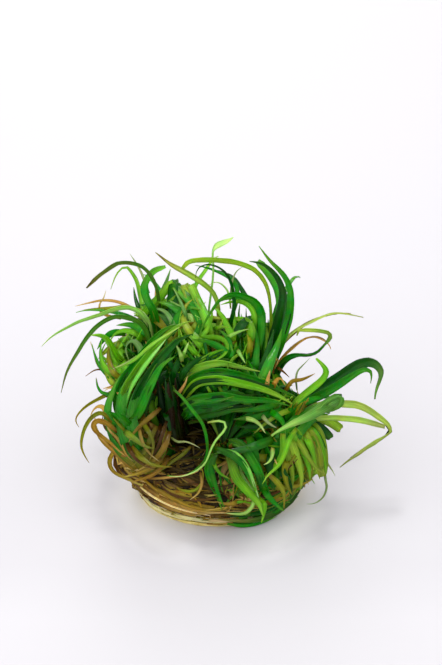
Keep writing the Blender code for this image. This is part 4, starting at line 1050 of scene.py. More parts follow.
def beside(uv, depth, rng):
    """A route beside a leaf's own, which leaves it little by little and is shorter."""
    along = np.linspace(0.0, 1.0, len(uv))
    run = unit(np.gradient(uv, axis=0))
    normal = np.stack((-run[:, 1], run[:, 0]), axis=-1)
    first, last = rng.uniform(-0.8, 0.8), rng.normal(0.0, COMPANION_SPREAD)
    sway = rng.uniform(-0.5, 0.5) * np.sin(math.pi * along * rng.uniform(1.0, 2.5))
    moved = uv + normal * (first + last * along ** 1.4 + sway)[:, None]
    loose = np.flatnonzero(~inside(moved, THICK_PART))
    if len(loose) and loose[0] > 6:
        moved = moved[:loose[0]]
    elif len(loose):
        moved = uv + normal * (first * 0.3)
    deeper = depth - rng.uniform(0.2, 1.0) - rng.uniform(0.3, 1.0) * COMPANION_DEPTH * along
    count = min(len(moved), max(6, int(len(uv) * rng.uniform(COMPANION_LENGTH, 0.97))))
    return from_view(moved[:count], deeper[:count])


# Leaves whose colour differs from their solid's.
OWN_TONES = {
    "leaf_front_drooping": "green", "leaf_right_hook": "hook", "leaf_right_folded": "folded",
    "leaf_right_kinked": "kinked", "leaf_right_long": "faded", "leaf_right_yellow": "faded",
    "leaf_left_top": "arch", "leaf_left_arch": "arch", "leaf_top_middle": "straw",
    "leaf_right_top_4": "yellow", "leaf_top_hook": "dark", "leaf_left_curl": "green",
    # leaf_front_1 is painted lighter, with tone lit, as where light falls on it.
    "leaf_front_1": "lit", "leaf_round_rim": "rim", "leaf_right_hanging": "lime",
    "leaf_back_right_2": "faded",
}
# Leaves with no thinner ones beside them.
LONE = ("leaf_front_drooping", "leaf_right_folded", "leaf_top_kinked", "leaf_round_rim")
# How the width of the back leaves changes: they thin towards their tips.
BACK_WIDTHS = [(0, 0.8), (0.4, 0.6), (0.8, 0.45), (1, 0.1)]
# How the width of a leaf changes along it, where it is unlike the others.
OWN_WIDTHS = {
    "leaf_right_top_4": [(0, 0.4), (0.4, 0.4), (0.7, 1.05), (0.93, 1.1), (1, 0.5)],
    "leaf_right_kinked": [(0, 0.9), (0.15, 1.1), (0.32, 1.0), (0.42, 0.35), (0.6, 0.25), (0.66, 0.7),
                          (0.9, 0.7), (0.95, 0.3), (1, 0.2)],
    "leaf_right_folded": [(0, 0.3), (0.28, 0.35), (0.4, 0.8), (0.55, 1.1), (0.75, 0.85), (1, 0.1)],
    "leaf_right_long": [(0, 0.7), (0.3, 0.95), (0.5, 0.8), (0.61, 0.5), (0.66, 0.4), (0.74, 1.0),
                        (0.86, 0.85), (1, 0.12)],
    "leaf_right_yellow": [(0, 0.6), (0.3, 0.7), (0.7, 0.8), (0.9, 0.7), (1, 0.5)],
    "leaf_right_hook": [(0, 0.8), (0.2, 1.1), (0.55, 1.15), (0.7, 0.8), (0.85, 0.45), (1, 0.15)],
    "leaf_right_small": [(0, 0.8), (0.5, 1.0), (0.75, 0.85), (1, 0.3)],
    "leaf_top_kinked": [(0, 0.3), (0.8, 0.35), (0.86, 1.1), (0.93, 0.9), (1, 0.1)],
    "leaf_top_middle": [(0, 0.7), (0.4, 0.9), (0.65, 1.25), (0.8, 1.1), (0.9, 0.6), (1, 0.15)],
    "old_leaf_back_2": [(0, 0.6), (0.4, 0.4), (0.8, 0.35), (1, 0.1)],
    "leaf_back_right_1": BACK_WIDTHS,
    "leaf_back_right_2": [(0, 0.8), (0.4, 0.5), (0.8, 0.35), (1, 0.1)],
    "leaf_back_right_3": BACK_WIDTHS,
    "leaf_back_left_3": BACK_WIDTHS,
    "leaf_left_top": [(0, 0.5), (0.45, 0.6), (0.7, 1.0), (0.93, 0.8), (1, 0.3)],
    "leaf_left_curl": [(0, 0.8), (0.5, 1.0), (0.75, 1.3), (0.95, 1.1), (1, 0.6)],
    "leaf_round_rim": [(0, 0.1), (0.3, 0.5), (0.6, 0.9), (0.85, 0.9), (1, 0.3)],
}
# Leaves that have curled up lengthwise, and so look narrower than they are.
NARROWED = {
    "leaf_front_drooping": 0.5, "leaf_right_kinked": 0.75, "leaf_left_top": 0.8, "leaf_top_middle": 0.72,
    "leaf_left_arch": 0.8, "leaf_top_hook": 0.75, "old_leaf_left_1": 0.7, "old_leaf_left_2": 0.75,
    "old_leaf_left_3": 0.7, "old_leaf_left_4": 0.7, "leaf_right_hanging": 0.7, "leaf_low_front_3": 0.8,
    "leaf_left_low": 0.7,
}
# The tones of the leaves that lie beside a leaf of each tone.
NEAR_TONES = {
    "dark": ("dark", "dark", "green"),
    "green": ("dark", "green", "dark"),
    "bright": ("green", "dark", "bright"),
    "pale": ("bright", "green", "pale"),
    "olive": ("olive", "golden", "lime"),
    "golden": ("golden", "tan", "brown", "olive"),
    "tan": ("tan", "golden", "tan"),
    "brown": ("brown", "golden", "tan"),
    "root": ("root", "tan", "root"),
}


def dress_leaf(leaf, uv, depth, face, twist):
    """A leaf and the thinner ones beside it."""
    rng = rng_for(leaf.name)
    tuft = Tuft()
    width = leaf.width * NARROWED.get(leaf.name, 1.0)
    tuft.blade(WIDE_STRIP, from_view(uv, depth), face, twist, width,
               tinted(OWN_TONES.get(leaf.name, leaf.tone), rng, 0.06), rng, fold=0.5,
               stops=OWN_WIDTHS.get(leaf.name))
    companions = 0 if leaf.name in LONE else FEW_COMPANIONS if leaf.name in NARROWED else COMPANIONS
    for _ in range(companions):
        tone = rng.choice(NEAR_TONES[leaf.tone])
        places = beside(uv, depth, rng)
        at_foot, at_tip = any_twist(rng, 25, 50)
        turn = (twist[0] + at_foot, twist[1] + at_tip)
        # The thinner leaves lie behind it, so they are painted darker, as shade.
        tuft.blade(STRIP, places, face, turn, width * rng.uniform(0.35, 0.7),
                   tinted(tone, rng, shade=COMPANION_SHADE), rng)
    material = OLD_LEAF if leaf.tone in OLD_TONES else FRESH_LEAF
    tuft.finish(leaf.name + "_blades", material, [leaf.name], LEAF_THICKNESS)


def sheath_axis(crown, share):
    """The middle of a crown at a share of its height, which may be a little past its top."""
    foot, top = crown_foot(crown), crown_top(crown)
    return foot + (top - foot) * share[:, None]


# How far a small leaf is moved away at most, and how far off a big leaf it then lies.
FARTHEST_MOVE = 10.0
BEHIND_CLEAR = 1.3
# How far beside a big leaf's edge a small one counts as crossing it.
CROSSING_EDGE = 1.2
# How much nearer each next point of a leaf may be, once the leaf has gone behind another.
RETURN_STEP = 1.8


def behind(places, shown):
    """The same places, moved away along the line of sight to lie behind the big leaves that they cross."""
    shown_uv, shown_depth, shown_half = shown
    uv, depth = to_view(places)
    apart = np.linalg.norm(uv[:, None] - shown_uv, axis=-1)
    crossed = (apart < shown_half + CROSSING_EDGE) & (shown_depth > depth[:, None] - FARTHEST_MOVE)
    nearest = np.where(crossed, shown_depth - BEHIND_CLEAR, np.inf).min(axis=1)
    for order in (range(1, len(nearest)), range(len(nearest) - 2, -1, -1)):
        for point in order:
            before = nearest[point - (1 if order.step > 0 else -1)]
            nearest[point] = min(nearest[point], before + RETURN_STEP)
    return from_view(uv, np.minimum(depth, nearest))


# The tones of the clump's leaves between two values of u and two of v, from the first line that fits: old
# and golden low down at the left, and brighter above.
PLACE_TONES = [
    ((24, 90), (-90, 22), ("bright", "olive", "bright", "green")),
    ((-90, -22), (-90, 32), ("golden", "olive", "tan", "golden", "green")),
    ((-90, 12), (-90, 16), ("golden", "brown", "olive", "green", "tan")),
    ((14, 90), (-90, 30), ("green", "olive", "bright", "dark", "olive")),
    ((-90, 90), (52, 190), ("bright", "pale", "olive", "bright", "bright", "green", "dark")),
    ((-90, 90), (-90, 190), ("dark", "green", "green", "bright", "dark")),
]


def tone_at(uv, rng):
    """A tone for a leaf that is seen at uv."""
    fitting = (tones for (left, right), (low, high), tones in PLACE_TONES
               if left < uv[0] < right and low < uv[1] < high)
    return rng.choice(next(fitting))


# The leaves that start above this v are longer and wider: their lengths, and those of the lower ones, from
# the least to the most, and their widths.
HIGH_START = 42.0
HIGH_LENGTHS, LOW_LENGTHS = (18.0, 40.0), (11.0, 28.0)
HIGH_WIDTHS, LOW_WIDTHS = (2.4, 4.4), (1.4, 3.2)
# No leaf of the clump is seen lower than this, or than this at the left.
LOW_END = -6.0
LEFT_LOW_END = 6.0


def clump_leaves(crowns, shown):
    """Leaves all over the side of the clump that is seen, each from the crown nearest to it."""
    rng = rng_for("clump_leaves")
    outline = np.array(THICK_PART, float)
    share = np.linspace(0.2, 1.0, 5)
    axes = np.concatenate([sheath_axis(crown, share) for crown in crowns])
    owners = np.repeat([crown.name for crown in crowns], len(share))
    along = np.linspace(0.0, 1.0, 12)
    found = []
    for _ in range(CLUMP_LEAVES * 20):
        if len(found) == CLUMP_LEAVES:
            break
        start = rng.uniform(outline.min(axis=0), outline.max(axis=0))
        away = start - CLUMP_MIDDLE
        heading = math.atan2(away[1], away[0]) + rng.normal(0.0, 0.8)
        turns = heading + rng.normal(0.0, 1.5) * along
        high = start[1] > HIGH_START
        step = rng.uniform(*(HIGH_LENGTHS if high else LOW_LENGTHS)) / (len(along) - 1)
        uv = start + np.cumsum(np.stack((np.cos(turns), np.sin(turns)), axis=-1), axis=0) * step
        if not inside(np.vstack((start, uv[:-1])), THICK_PART).all() or inside(uv, OPENING).any():
            continue
        if uv[:, 1].min() < LOW_END or ((uv[:, 0] < 0.0) & (uv[:, 1] < LEFT_LOW_END)).any():
            continue
        deep = 8.0 * np.clip(1.0 - along / 0.4, 0.0, 1.0) + rng.uniform(-1.0, 4.0)
        deep = deep + rng.uniform(0.0, 8.0) * np.clip((along - 0.7) / 0.3, 0.0, 1.0)
        width = rng.uniform(*(HIGH_WIDTHS if high else LOW_WIDTHS))
        depth = depth_at(uv, dome_back(uv) + deep)
        middle = len(along) // 2
        reach = 1.2 * step * np.abs(np.arange(len(along)) - middle)
        depth = np.clip(depth, depth[middle] - reach, depth[middle] + reach)
        places = behind(from_view(uv, depth), shown)
        nearest = np.linalg.norm(axes - places[0], axis=1).argmin()
        tone = tone_at(uv[middle], rng)
        places = np.vstack((axes[nearest], places))
        places += push_out(places)
        found.append((owners[nearest], tone, width, places))
    return found


# The tones of the leaf bases of two crowns and of the others, and the painted shade that darkens those that
# lie in shadow.
SHEATH_TONES = {"crown_front_left": ("sheath", "green", "green", "olive"),
                "crown_front": ("green", "dark", "dark", "brown")}
USUAL_SHEATH_TONES = ("golden", "olive", "green", "green", "tan")
SHEATH_SHADES = {"crown_front": 0.2}


def add_sheaths(tuft, crown, rng):
    """The leaf bases round a crown, which flare out at the mat."""
    share = np.linspace(-0.1, 1.0, 12)
    height = np.linalg.norm(crown_top(crown) - crown_foot(crown))
    flare = 1.0 + 0.35 * np.clip(0.3 - share, 0.0, 1.0) / 0.3
    shade = SHEATH_SHADES.get(crown.name, 1.0)
    for _ in range(SHEATHS):
        angle = rng.uniform(0, math.tau)
        turn = np.radians(rng.uniform(-50, 50)) * share
        reach = share * (1.0 + rng.uniform(2.0, 9.0) / max(height, 8.0))
        around = angle + turn
        wide = CROWN_HALF_WIDTH * rng.uniform(0.95, 1.25)
        deep = crown.half_depth * rng.uniform(0.8, 1.05) * (0.75 + 0.25 * share)
        out = (np.outer(np.cos(around) * wide * flare, RIGHT)
               - np.outer(np.sin(around) * deep * flare, TOWARDS * (0.3, 1.0, 1.0)))
        places = sheath_axis(crown, reach) + out
        face = out[0] + 0.001
        tone = rng.choice(SHEATH_TONES.get(crown.name, USUAL_SHEATH_TONES))
        # Their colours carry painted shade: that of their crown, and more in the hollow under the front
        # bundle.
        tuft.blade(SHORT_STRIP, places, face, (0.0, rng.uniform(-30, 30)), rng.uniform(3.0, 4.8),
                   lambda along, tone=tone, places=places:
                   tint_sheath(tone, along, rng) * shade * hollow_painted_shade(tone, places, along),
                   rng, fold=-0.35, foot=1.0)


def add_seen_leaf(tuft, rng, places, tone, width, vary, stops):
    """A leaf whose face is turned to the viewer, with painted shade that darkens it in the hollow."""
    tuft.blade(STRIP, places, TOWARDS, any_twist(rng, 20, 35), width,
               lambda along: tint(tone, along, rng, vary) * hollow_painted_shade(tone, places, along), rng, stops=stops)


def add_short_leaves(tuft, crown, rng, shown):
    """The short leaves out of a crown, behind the big leaves."""
    for places in short_routes(crown, rng):
        places = behind(places, shown)
        tone = rng.choice(("dark", "green", "green", "bright", "olive"))
        face = np.array((rng.normal(0, 0.3), rng.normal(0, 0.3) - 0.4, 1.0))
        tuft.blade(SHORT_STRIP, places, face, any_twist(rng, 40, 70), rng.uniform(2.2, 3.8),
                   tinted(tone, rng), rng)


def small_places(small):
    """The places along a small leaf: its foot buried, outside the mat and not in front of the solids' box."""
    uv = smooth_route(small.route)
    buried = np.clip(1.0 - np.linspace(0.0, 1.0, ROUTE_STEPS) / 0.3, 0.0, 1.0)
    back = dome_back(uv) - small.near + SMALL_BURIED * buried
    places = from_view(uv, depth_at(uv, back))
    places += push_out(places)
    beyond = np.maximum(CAD_BOX[0][1] / MM - places[:, 1], 0.0)
    return places - TOWARDS * (beyond / math.cos(TILT))[:, None]


def dress_crown(crown, shown, clump):
    """The leaf bases round a crown, the short leaves out of it and the small leaves drawn for it."""
    rng = rng_for(crown.name)
    tuft = Tuft()
    add_sheaths(tuft, crown, rng)
    for _, tone, width, places in (one for one in clump if one[0] == crown.name):
        add_seen_leaf(tuft, rng, places, tone, width, 0.25, RISING)
    add_short_leaves(tuft, crown, rng, shown)
    for small in (Small(*drawn) for drawn in SMALL_LEAVES.get(crown.name, ())):
        add_seen_leaf(tuft, rng, small_places(small), small.tone, small.width, 0.08, small.stops)
    tuft.finish(crown.name + "_leaves", FRESH_LEAF, [crown.name], SMALL_THICKNESS)


# How deep points may lie in the mat's margin before they move out of it, and how far they move at most.
PUSH_FROM = 0.6
PUSH_MOST = 6.0


def push_out(places):
    """How far points that are inside the mat or the pad move out of it."""
    radius = np.hypot(places[:, 0], places[:, 1])[:, None]
    outward = np.concatenate((places[:, :2] / np.maximum(radius, 1.0), np.zeros_like(radius)), axis=1)
    deep = np.maximum(body_depth(places) - PUSH_FROM, 0.0)[:, None]
    return outward * np.minimum(deep, PUSH_MOST)


# The browns of a leaf base at the mat.
SHEATH_BROWNS = ("6b4214", "8a5f20", "56330f")


def tint_sheath(tone, along, rng):
    """A leaf base: brown at the mat, and its own tone from a third or a half of its height."""
    brown = linear(rng.choice(SHEATH_BROWNS))
    own = tint(tone, np.clip(along, 0.35, 0.6), rng, 0.14)
    share = np.clip(1.0 - along / rng.uniform(0.3, 0.6), 0.0, 1.0)[:, None]
    own[:, :3] = own[:, :3] * (1.0 - share) + brown * share
    return own


# Where the short leaves of the back crowns head, in degrees; the others' head anywhere.
BACKWARD = 90.0


def short_routes(crown, rng):
    """Short leaves that arch out of a crown and stay inside the clump's thick part."""
    low, high = (np.array(corner) / MM for corner in CAD_BOX)
    at_back = crown.name.startswith("crown_back")
    found = []
    for _ in range(SHORT_LEAVES * 12):
        if len(found) == SHORT_LEAVES:
            break
        heading = math.radians(BACKWARD + rng.normal(0, 55)) if at_back else rng.uniform(0, math.tau)
        share = rng.uniform(0.35, 1.05)
        start = sheath_axis(crown, np.array([share]))[0] + rng.normal(0, 1.6, 3)
        places = arc_places(start, heading, rng.uniform(0, 40), rng.uniform(30, 130), rng.uniform(18, 42), 11)
        uv, _ = to_view(places)
        in_outline = inside(uv, THICK_PART).all() and not inside(uv, OPENING).any()
        in_box = (places > low + 1.0).all() and (places < high - 1.0).all()
        hidden = (places[:, 1] > dome_back(uv) + 1.0).all()
        if in_outline and in_box and hidden and body_depth(places[2:]).max() < 0.5:
            found.append(places)
    return found


def flattened(back):
    """The front half of a round thing, flattened as the pad and the mat are."""
    return np.where(back < 0.0, back * FRONT_FLAT, back)


def round_places(turn, radius, level):
    """Places at an angle, a radius and a height round the pad or the mat, whose front is flattened."""
    height = np.broadcast_to(level, turn.shape)
    return np.stack((radius * np.cos(turn), flattened(radius * np.sin(turn)), height), axis=-1)


def spun_body(name, profile, steps, swell_at, cuts=0):
    """A round body, spun from its profile, with bumps on its side and its front flattened."""
    body = bmesh.new()
    rim = [body.verts.new((radius, 0.0, height)) for radius, height in profile]
    for start, end in zip(rim, rim[1:]):
        body.edges.new((start, end))
    bmesh.ops.spin(body, geom=body.verts[:] + body.edges[:], cent=(0.0, 0.0, 0.0), axis=(0.0, 0.0, 1.0),
                   angle=math.tau, steps=steps, use_merge=True, use_duplicate=False)
    bmesh.ops.remove_doubles(body, verts=body.verts, dist=0.001)
    if cuts:
        bmesh.ops.subdivide_edges(body, edges=body.edges, cuts=cuts, use_grid_fill=True)
    for vert in body.verts:
        swell = swell_at(math.atan2(vert.co.y, vert.co.x), vert.co.z)
        vert.co.x *= swell
        vert.co.y *= swell * (FRONT_FLAT if vert.co.y < 0.0 else 1.0)
        vert.co *= MM
    bmesh.ops.recalc_face_normals(body, faces=body.faces)
    mesh = as_mesh(body, name)
    mesh.shade_smooth()
    return mesh


# The least and the most height of what is wrapped round the mat.
WRAP_LOW = 4.6
WRAP_HIGH = 30.0


def wrap_places(angle, sweep, height, rise, wave, out, steps):
    """A line round the mat's side: its start angle and how far round it runs, its height and its rise."""
    along = np.linspace(0.0, 1.0, steps)
    turn = angle + sweep * along
    swing = wave[0] * np.sin(math.tau * (wave[1] * along + wave[2]))
    level = np.clip(height + rise * along + swing, WRAP_LOW, WRAP_HIGH)
    lifted = out * (0.55 + 0.45 * np.sin(math.tau * (wave[1] * 0.8 * along + wave[2] * 1.7)))
    radius = mat_side(level) + lifted * np.clip((level - PAD_HEIGHT) / 4.0, 0.2, 1.0)
    return round_places(turn, radius, level)


# How many old leaves are wrapped round the mat, lie on its top, and how many stems it has.
WRAPPED_LEAVES = 672
TOP_LEAVES = 170
MAT_STEMS = 150
# How far from the mat's middle the leaves on its top start, and how far off it they lie.
TOP_REACH = 27.0
TOP_CLEAR = 0.4
# Dark gaps between the old leaves, as they are seen, beside which the old leaves get painted shade.
HOLLOWS = [(4, -3), (1, 2), (-13, 8), (-9, 13), (-2, 20), (8, 24), (-15, 25), (-13, 2), (18, 12), (9, -2),
           (-6, 8), (-12, -3), (-5, -4), (5, -6), (-17, -1), (11, -6)]
# The painted shade of the old leaves in the dark opening and in the gaps: how much darker than the others
# they are.
OPENING_SHADE = 0.22
# The points along an old leaf that is wound round the mat.
STRAND_STEPS = 30
# Old leaves that are wound round the mat, as they are seen: each with its width and how many lie together.
MAT_STRANDS = [
    ("golden", 1.8, 5, [(-39, 18), (-37, 12.3), (-32.8, 8.8), (-27.5, 9.7), (-23.2, 13.2), (-20.6, 19.3)]),
    ("golden", 1.8, 5, [(-40.6, 15), (-38, 8.8), (-31.9, 5.4), (-24.9, 6.2), (-20.6, 9.7), (-12.7, 15)]),
    ("tan", 1.0, 5, [(-40, 5.4), (-32.8, 4.1), (-26.7, 3.6), (-20.6, 4.1), (-11, 5.4), (-6.6, 8),
                     (-4, 12.3)]),
    ("golden", 1.6, 6, [(-38.6, 7), (-32, 1.9), (-25.8, 0.1), (-20.6, -2.5), (-16.2, -5.1), (-9.2, -7.7),
                        (-2.3, -8.6), (3, -8.1)]),
    ("tan", 1.3, 4, [(-20.6, -2.5), (-14.5, -1.6), (-9.2, -4.2), (-5.8, -7.7), (-4, -10.3)]),
    ("olive", 0.9, 3, [(-19.7, 3.6), (-18.8, 0.1), (-14.5, -3.4), (-9.2, -3.4), (-6.6, 0.1), (-5.8, 4.5),
                       (-7.5, 8)]),
    ("golden", 1.6, 5, [(-33, 22), (-33.5, 16), (-30, 11), (-25, 7), (-19, 4)]),
    ("golden", 1.6, 5, [(-24, 30), (-30, 24), (-36, 17), (-40, 11), (-38, 6), (-33, 3), (-26, -1),
                        (-18, -4)]),
    ("tan", 1.4, 4, [(-20, 27), (-27, 20), (-33, 14), (-38, 9), (-34, 4), (-26, 1)]),
    ("tan", 1.5, 5, [(-33.5, 4), (-30.5, 0.8), (-26, -2.6), (-19.4, -6), (-12.1, -8.4), (-4.9, -9.8),
                     (2.8, -10)]),
    ("root", 0.8, 6, [(-33, 2.5), (-29.5, -1), (-24.5, -4.4), (-18, -7.6), (-11, -9.8), (-3, -11.2)]),
    ("tan", 1.2, 3, [(-31, 3), (-24, -3), (-15, -7), (-6, -9), (4, -9.4), (12, -8.8)]),
    ("golden", 1.8, 4, [(-22, 12), (-24, 6), (-22, 1), (-16, -2), (-8, -4), (0, -3)]),
    ("brown", 1.6, 4, [(-14, 14), (-16, 9), (-14, 4), (-8, 1), (0, 0), (6, -4)]),
    ("golden", 1.5, 5, [(2, -6), (9, -7.4), (16, -7.4), (23, -4.6), (28, -0.6), (33, 5)]),
    ("olive", 1.6, 5, [(12, -9.2), (19, -7.6), (25, -4.2), (31, 1), (35, 7), (37, 14)]),
    ("olive", 1.8, 5, [(18, 2), (24, 0.5), (30, 3.5), (34, 8), (36, 15), (34, 22)]),
    ("golden", 1.8, 4, [(22, -5), (27, 1), (31, 8), (33, 15), (32, 22)]),
    ("olive", 1.6, 4, [(26, -3), (32, 3), (37, 10), (39.5, 17), (38, 24)]),
    ("green", 1.8, 4, [(4, -11.6), (11, -12.2), (18, -11.2), (24, -8.6), (29, -4), (32, 0)]),
    ("green", 1.3, 3, [(2, -12.2), (9, -12.6), (16, -11.6), (22, -9.4)]),
    ("dark", 1.6, 4, [(10, -10), (17, -9.6), (24, -6.6), (30, -1.5)]),
]


def crosses_opening(places):
    """Whether a line at the front of the mat is seen in the dark opening."""
    return (inside(to_view(places)[0], OPENING) & (places[:, 1] < 0.0)).any()


def opening_shade(places):
    """The painted shade of an old leaf: darker where it is seen in the dark opening."""
    return OPENING_SHADE if crosses_opening(places) else 1.0


def on_mat(uv, out):
    """Places seen at uv that lie out mm off the side of the mat and the pad, or nearest to it beyond them."""
    depths = np.arange(45.0, -15.0, -0.4)
    grid = from_view(np.repeat(uv[:, None], len(depths), axis=1), np.tile(depths, (len(uv), 1)))
    deep = body_depth(grid)
    reached = deep > MAT_CLEAR - out
    first = np.where(reached.any(axis=1), reached.argmax(axis=1), deep.argmax(axis=1))
    depth = np.pad(depths[first], 2, mode="edge")
    return from_view(uv, np.convolve(depth, np.full(5, 0.2), mode="valid"))


# How far the core's side lies inside the mat's.
CORE_DEEP = 1.6


def core_swell(angle, height):
    """How far the core's side stands out between its furrows, growing from nothing at its foot."""
    lump = (0.9 * math.sin(11 * angle + 0.5 * height) + 0.8 * math.sin(23 * angle - 0.7 * height)
            + 0.5 * math.sin(37 * angle + 1.1 * height))
    return 1.0 + 0.6 * lump / PAD_RADIUS * min(1.0, max(height - MAT_PROFILE[0][1], 0.0))


def dress_core():
    """The dark core of the mat, which shows between the old leaves: dark rot, painted near black as the shade
    in the gaps.
    """
    side = [(radius - CORE_DEEP, height) for radius, height in MAT_PROFILE[:-1]]
    profile = [(0.0, MAT_PROFILE[0][1])] + side + [(14.0, 30.0), (0.0, 30.4)]
    mesh = spun_body("old_leaf_mat_core", profile, 72, core_swell, cuts=1)
    add_piece("old_leaf_mat_core", mesh, ROT_AND_SHADE, ["old_leaf_mat"])


def wrap_leaves(leaves, rng):
    """Old leaves wrapped round the side of the mat, with painted shade in its gaps, and greener at the right.
    """
    hollows = np.array(HOLLOWS)
    for _ in range(WRAPPED_LEAVES):
        height = rng.uniform(5.4, 27.0)
        angle = rng.uniform(0, math.tau)
        sweep = rng.choice((-1, 1)) * rng.uniform(0.5, 1.5)
        rise = rng.normal(0.0, 3.5) if height < 10 else rng.normal(0.0, 9.0)
        wave = (rng.uniform(0.3, 2.2), rng.uniform(0.4, 1.3), rng.uniform())
        places = wrap_places(angle, sweep, height, rise, wave, rng.uniform(0.2, 2.2), 19)
        uv, _ = to_view(places)
        near_hollow = np.linalg.norm(uv[:, None] - hollows, axis=-1).min() < rng.uniform(1.0, 6.0)
        middle = len(places) // 2
        at_front = places[middle, 1] < 0
        # Painted shade where the leaf is seen in the dark opening, or at the front beside a gap.
        shade = OPENING_SHADE if crosses_opening(places) or at_front and near_hollow else 1.0
        right = uv[middle, 0] > 12.0 and at_front and uv[:, 0].min() > -12.0
        tone = rng.choice(("olive", "green", "golden", "dark") if right else
                          ("golden", "tan", "golden", "brown", "brown"))
        # A darker or lighter tone at random, on top of any painted shade.
        shade *= rng.choice((0.4, 0.75, 1.0, 1.3))
        face = places[0] * (1.0, 1.0, 0.1)
        leaves.blade(STRIP, places, face, any_twist(rng, 30, 40), rng.uniform(1.2, 2.6),
                     tinted(tone, rng, 0.4, shade), rng)


def wind_strands(leaves, rng):
    """The old leaves that are seen wound round the mat, and others beside each."""
    along = np.linspace(0.0, 1.0, STRAND_STEPS)
    for tone, width, copies, route in MAT_STRANDS:
        for copy in range(copies):
            uv = smooth_route(route, STRAND_STEPS) + rng.normal(0.0, 0.9, 2) * min(copy, 1)
            bow = rng.normal(0.0, 1.2) * np.sin(math.pi * along) * min(copy, 1)
            places = on_mat(uv + bow[:, None], rng.uniform(0.8, 3.2))
            first = rng.integers(0, 12)
            own = tone if copy == 0 else rng.choice(NEAR_TONES[tone])
            leaves.blade(STRIP, places[first:], TOWARDS, any_twist(rng, 30, 40),
                         width * rng.uniform(0.8, 1.4), tinted(own, rng, 0.15), rng)


def lay_top_leaves(leaves, rng):
    """Old leaves that lie on the mat's top, between the crowns."""
    for _ in range(TOP_LEAVES):
        angle, radius = rng.uniform(0, math.tau), TOP_REACH * math.sqrt(rng.uniform(0, 1))
        level = mat_height(radius) + TOP_CLEAR
        start = np.array((radius * math.cos(angle), flattened(radius * math.sin(angle)), level))
        places = arc_places(start, rng.uniform(0, math.tau), rng.uniform(45, 80), rng.uniform(10, 60),
                            rng.uniform(9, 20), 11)
        places[:, 2] = np.maximum(places[:, 2], mat_height(turned_radius(places)) + TOP_CLEAR)
        # Painted shade where the leaf is seen in the dark opening.
        shade = opening_shade(places)
        tone = rng.choice(("golden", "brown", "olive", "olive", "tan"))
        leaves.blade(SHORT_STRIP, places, np.array((0.0, 0.0, 1.0)), any_twist(rng, 30, 60),
                     rng.uniform(1.4, 2.8), tinted(tone, rng, 0.3, shade), rng)


def dress_stems():
    """Thin stems and roots wound round the mat's foot."""
    rng = rng_for("old_leaf_mat_stems")
    stems = Tuft()
    for _ in range(MAT_STEMS):
        height = rng.uniform(4.2, 18.0)
        sweep = rng.choice((-1, 1)) * rng.uniform(0.2, 0.8)
        wave = (rng.uniform(0.5, 2.4), rng.uniform(0.8, 2.5), rng.uniform())
        places = wrap_places(rng.uniform(0, math.tau), sweep, height, rng.normal(0.0, 5.0), wave,
                             rng.uniform(0.6, 3.0), 13)
        # Painted shade where the stem is seen in the dark opening.
        shade = opening_shade(places)
        tone = rng.choice(("tan", "golden", "golden", "brown"))
        stems.stalk(STALK, places, rng.uniform(0.4, 1.0), tinted(tone, rng, 0.3, shade))
    stems.finish("old_leaf_mat_stems", ROOT, ["old_leaf_mat"])


def dress_mat():
    """The matted old leaves: a dark core, old leaves round it and on it, and thin stems."""
    dress_core()
    rng = rng_for("old_leaf_mat_leaves")
    leaves = Tuft()
    wrap_leaves(leaves, rng)
    wind_strands(leaves, rng)
    lay_top_leaves(leaves, rng)
    leaves.finish("old_leaf_mat_leaves", OLD_LEAF, ["old_leaf_mat"], SMALL_THICKNESS)
    dress_stems()


# How many thin roots are wound round the pad's rim, lie under it, and how many thick ones lie round its top.
RIM_ROOTS = 300
UNDER_ROOTS = 90
THICK_ROOTS = 70
# The points along a root, from its foot at 0 to its tip at 1.
ROOT_LINE = np.linspace(0.0, 1.0, 13)


def gel_swell(angle, height):
    """How far the pad's side stands out, a little uneven all round."""
    return 1.0 + (0.12 * math.sin(9 * angle) + 0.1 * math.sin(31 * angle + height)) / PAD_RADIUS


def dress_gel():
    """The cloudy gel, in the cup's round form."""
    profile = [(0.0, PAD_HEIGHT), (PAD_RADIUS - 2.2, PAD_HEIGHT), (PAD_RADIUS - 0.9, PAD_HEIGHT - 0.5),
               (PAD_RADIUS - 0.4, PAD_HEIGHT - 1.3), (PAD_RADIUS - 0.5, 1.0), (PAD_RADIUS - 1.0, 0.3),
               (PAD_RADIUS - 1.8, 0.0), (0.0, 0.0)]
    mesh = spun_body("root_pad_gel", profile, 120, gel_swell)
    mesh.set_sharp_from_angle(angle=math.radians(40))
    add_piece("root_pad_gel", mesh, GEL, ["root_pad"])


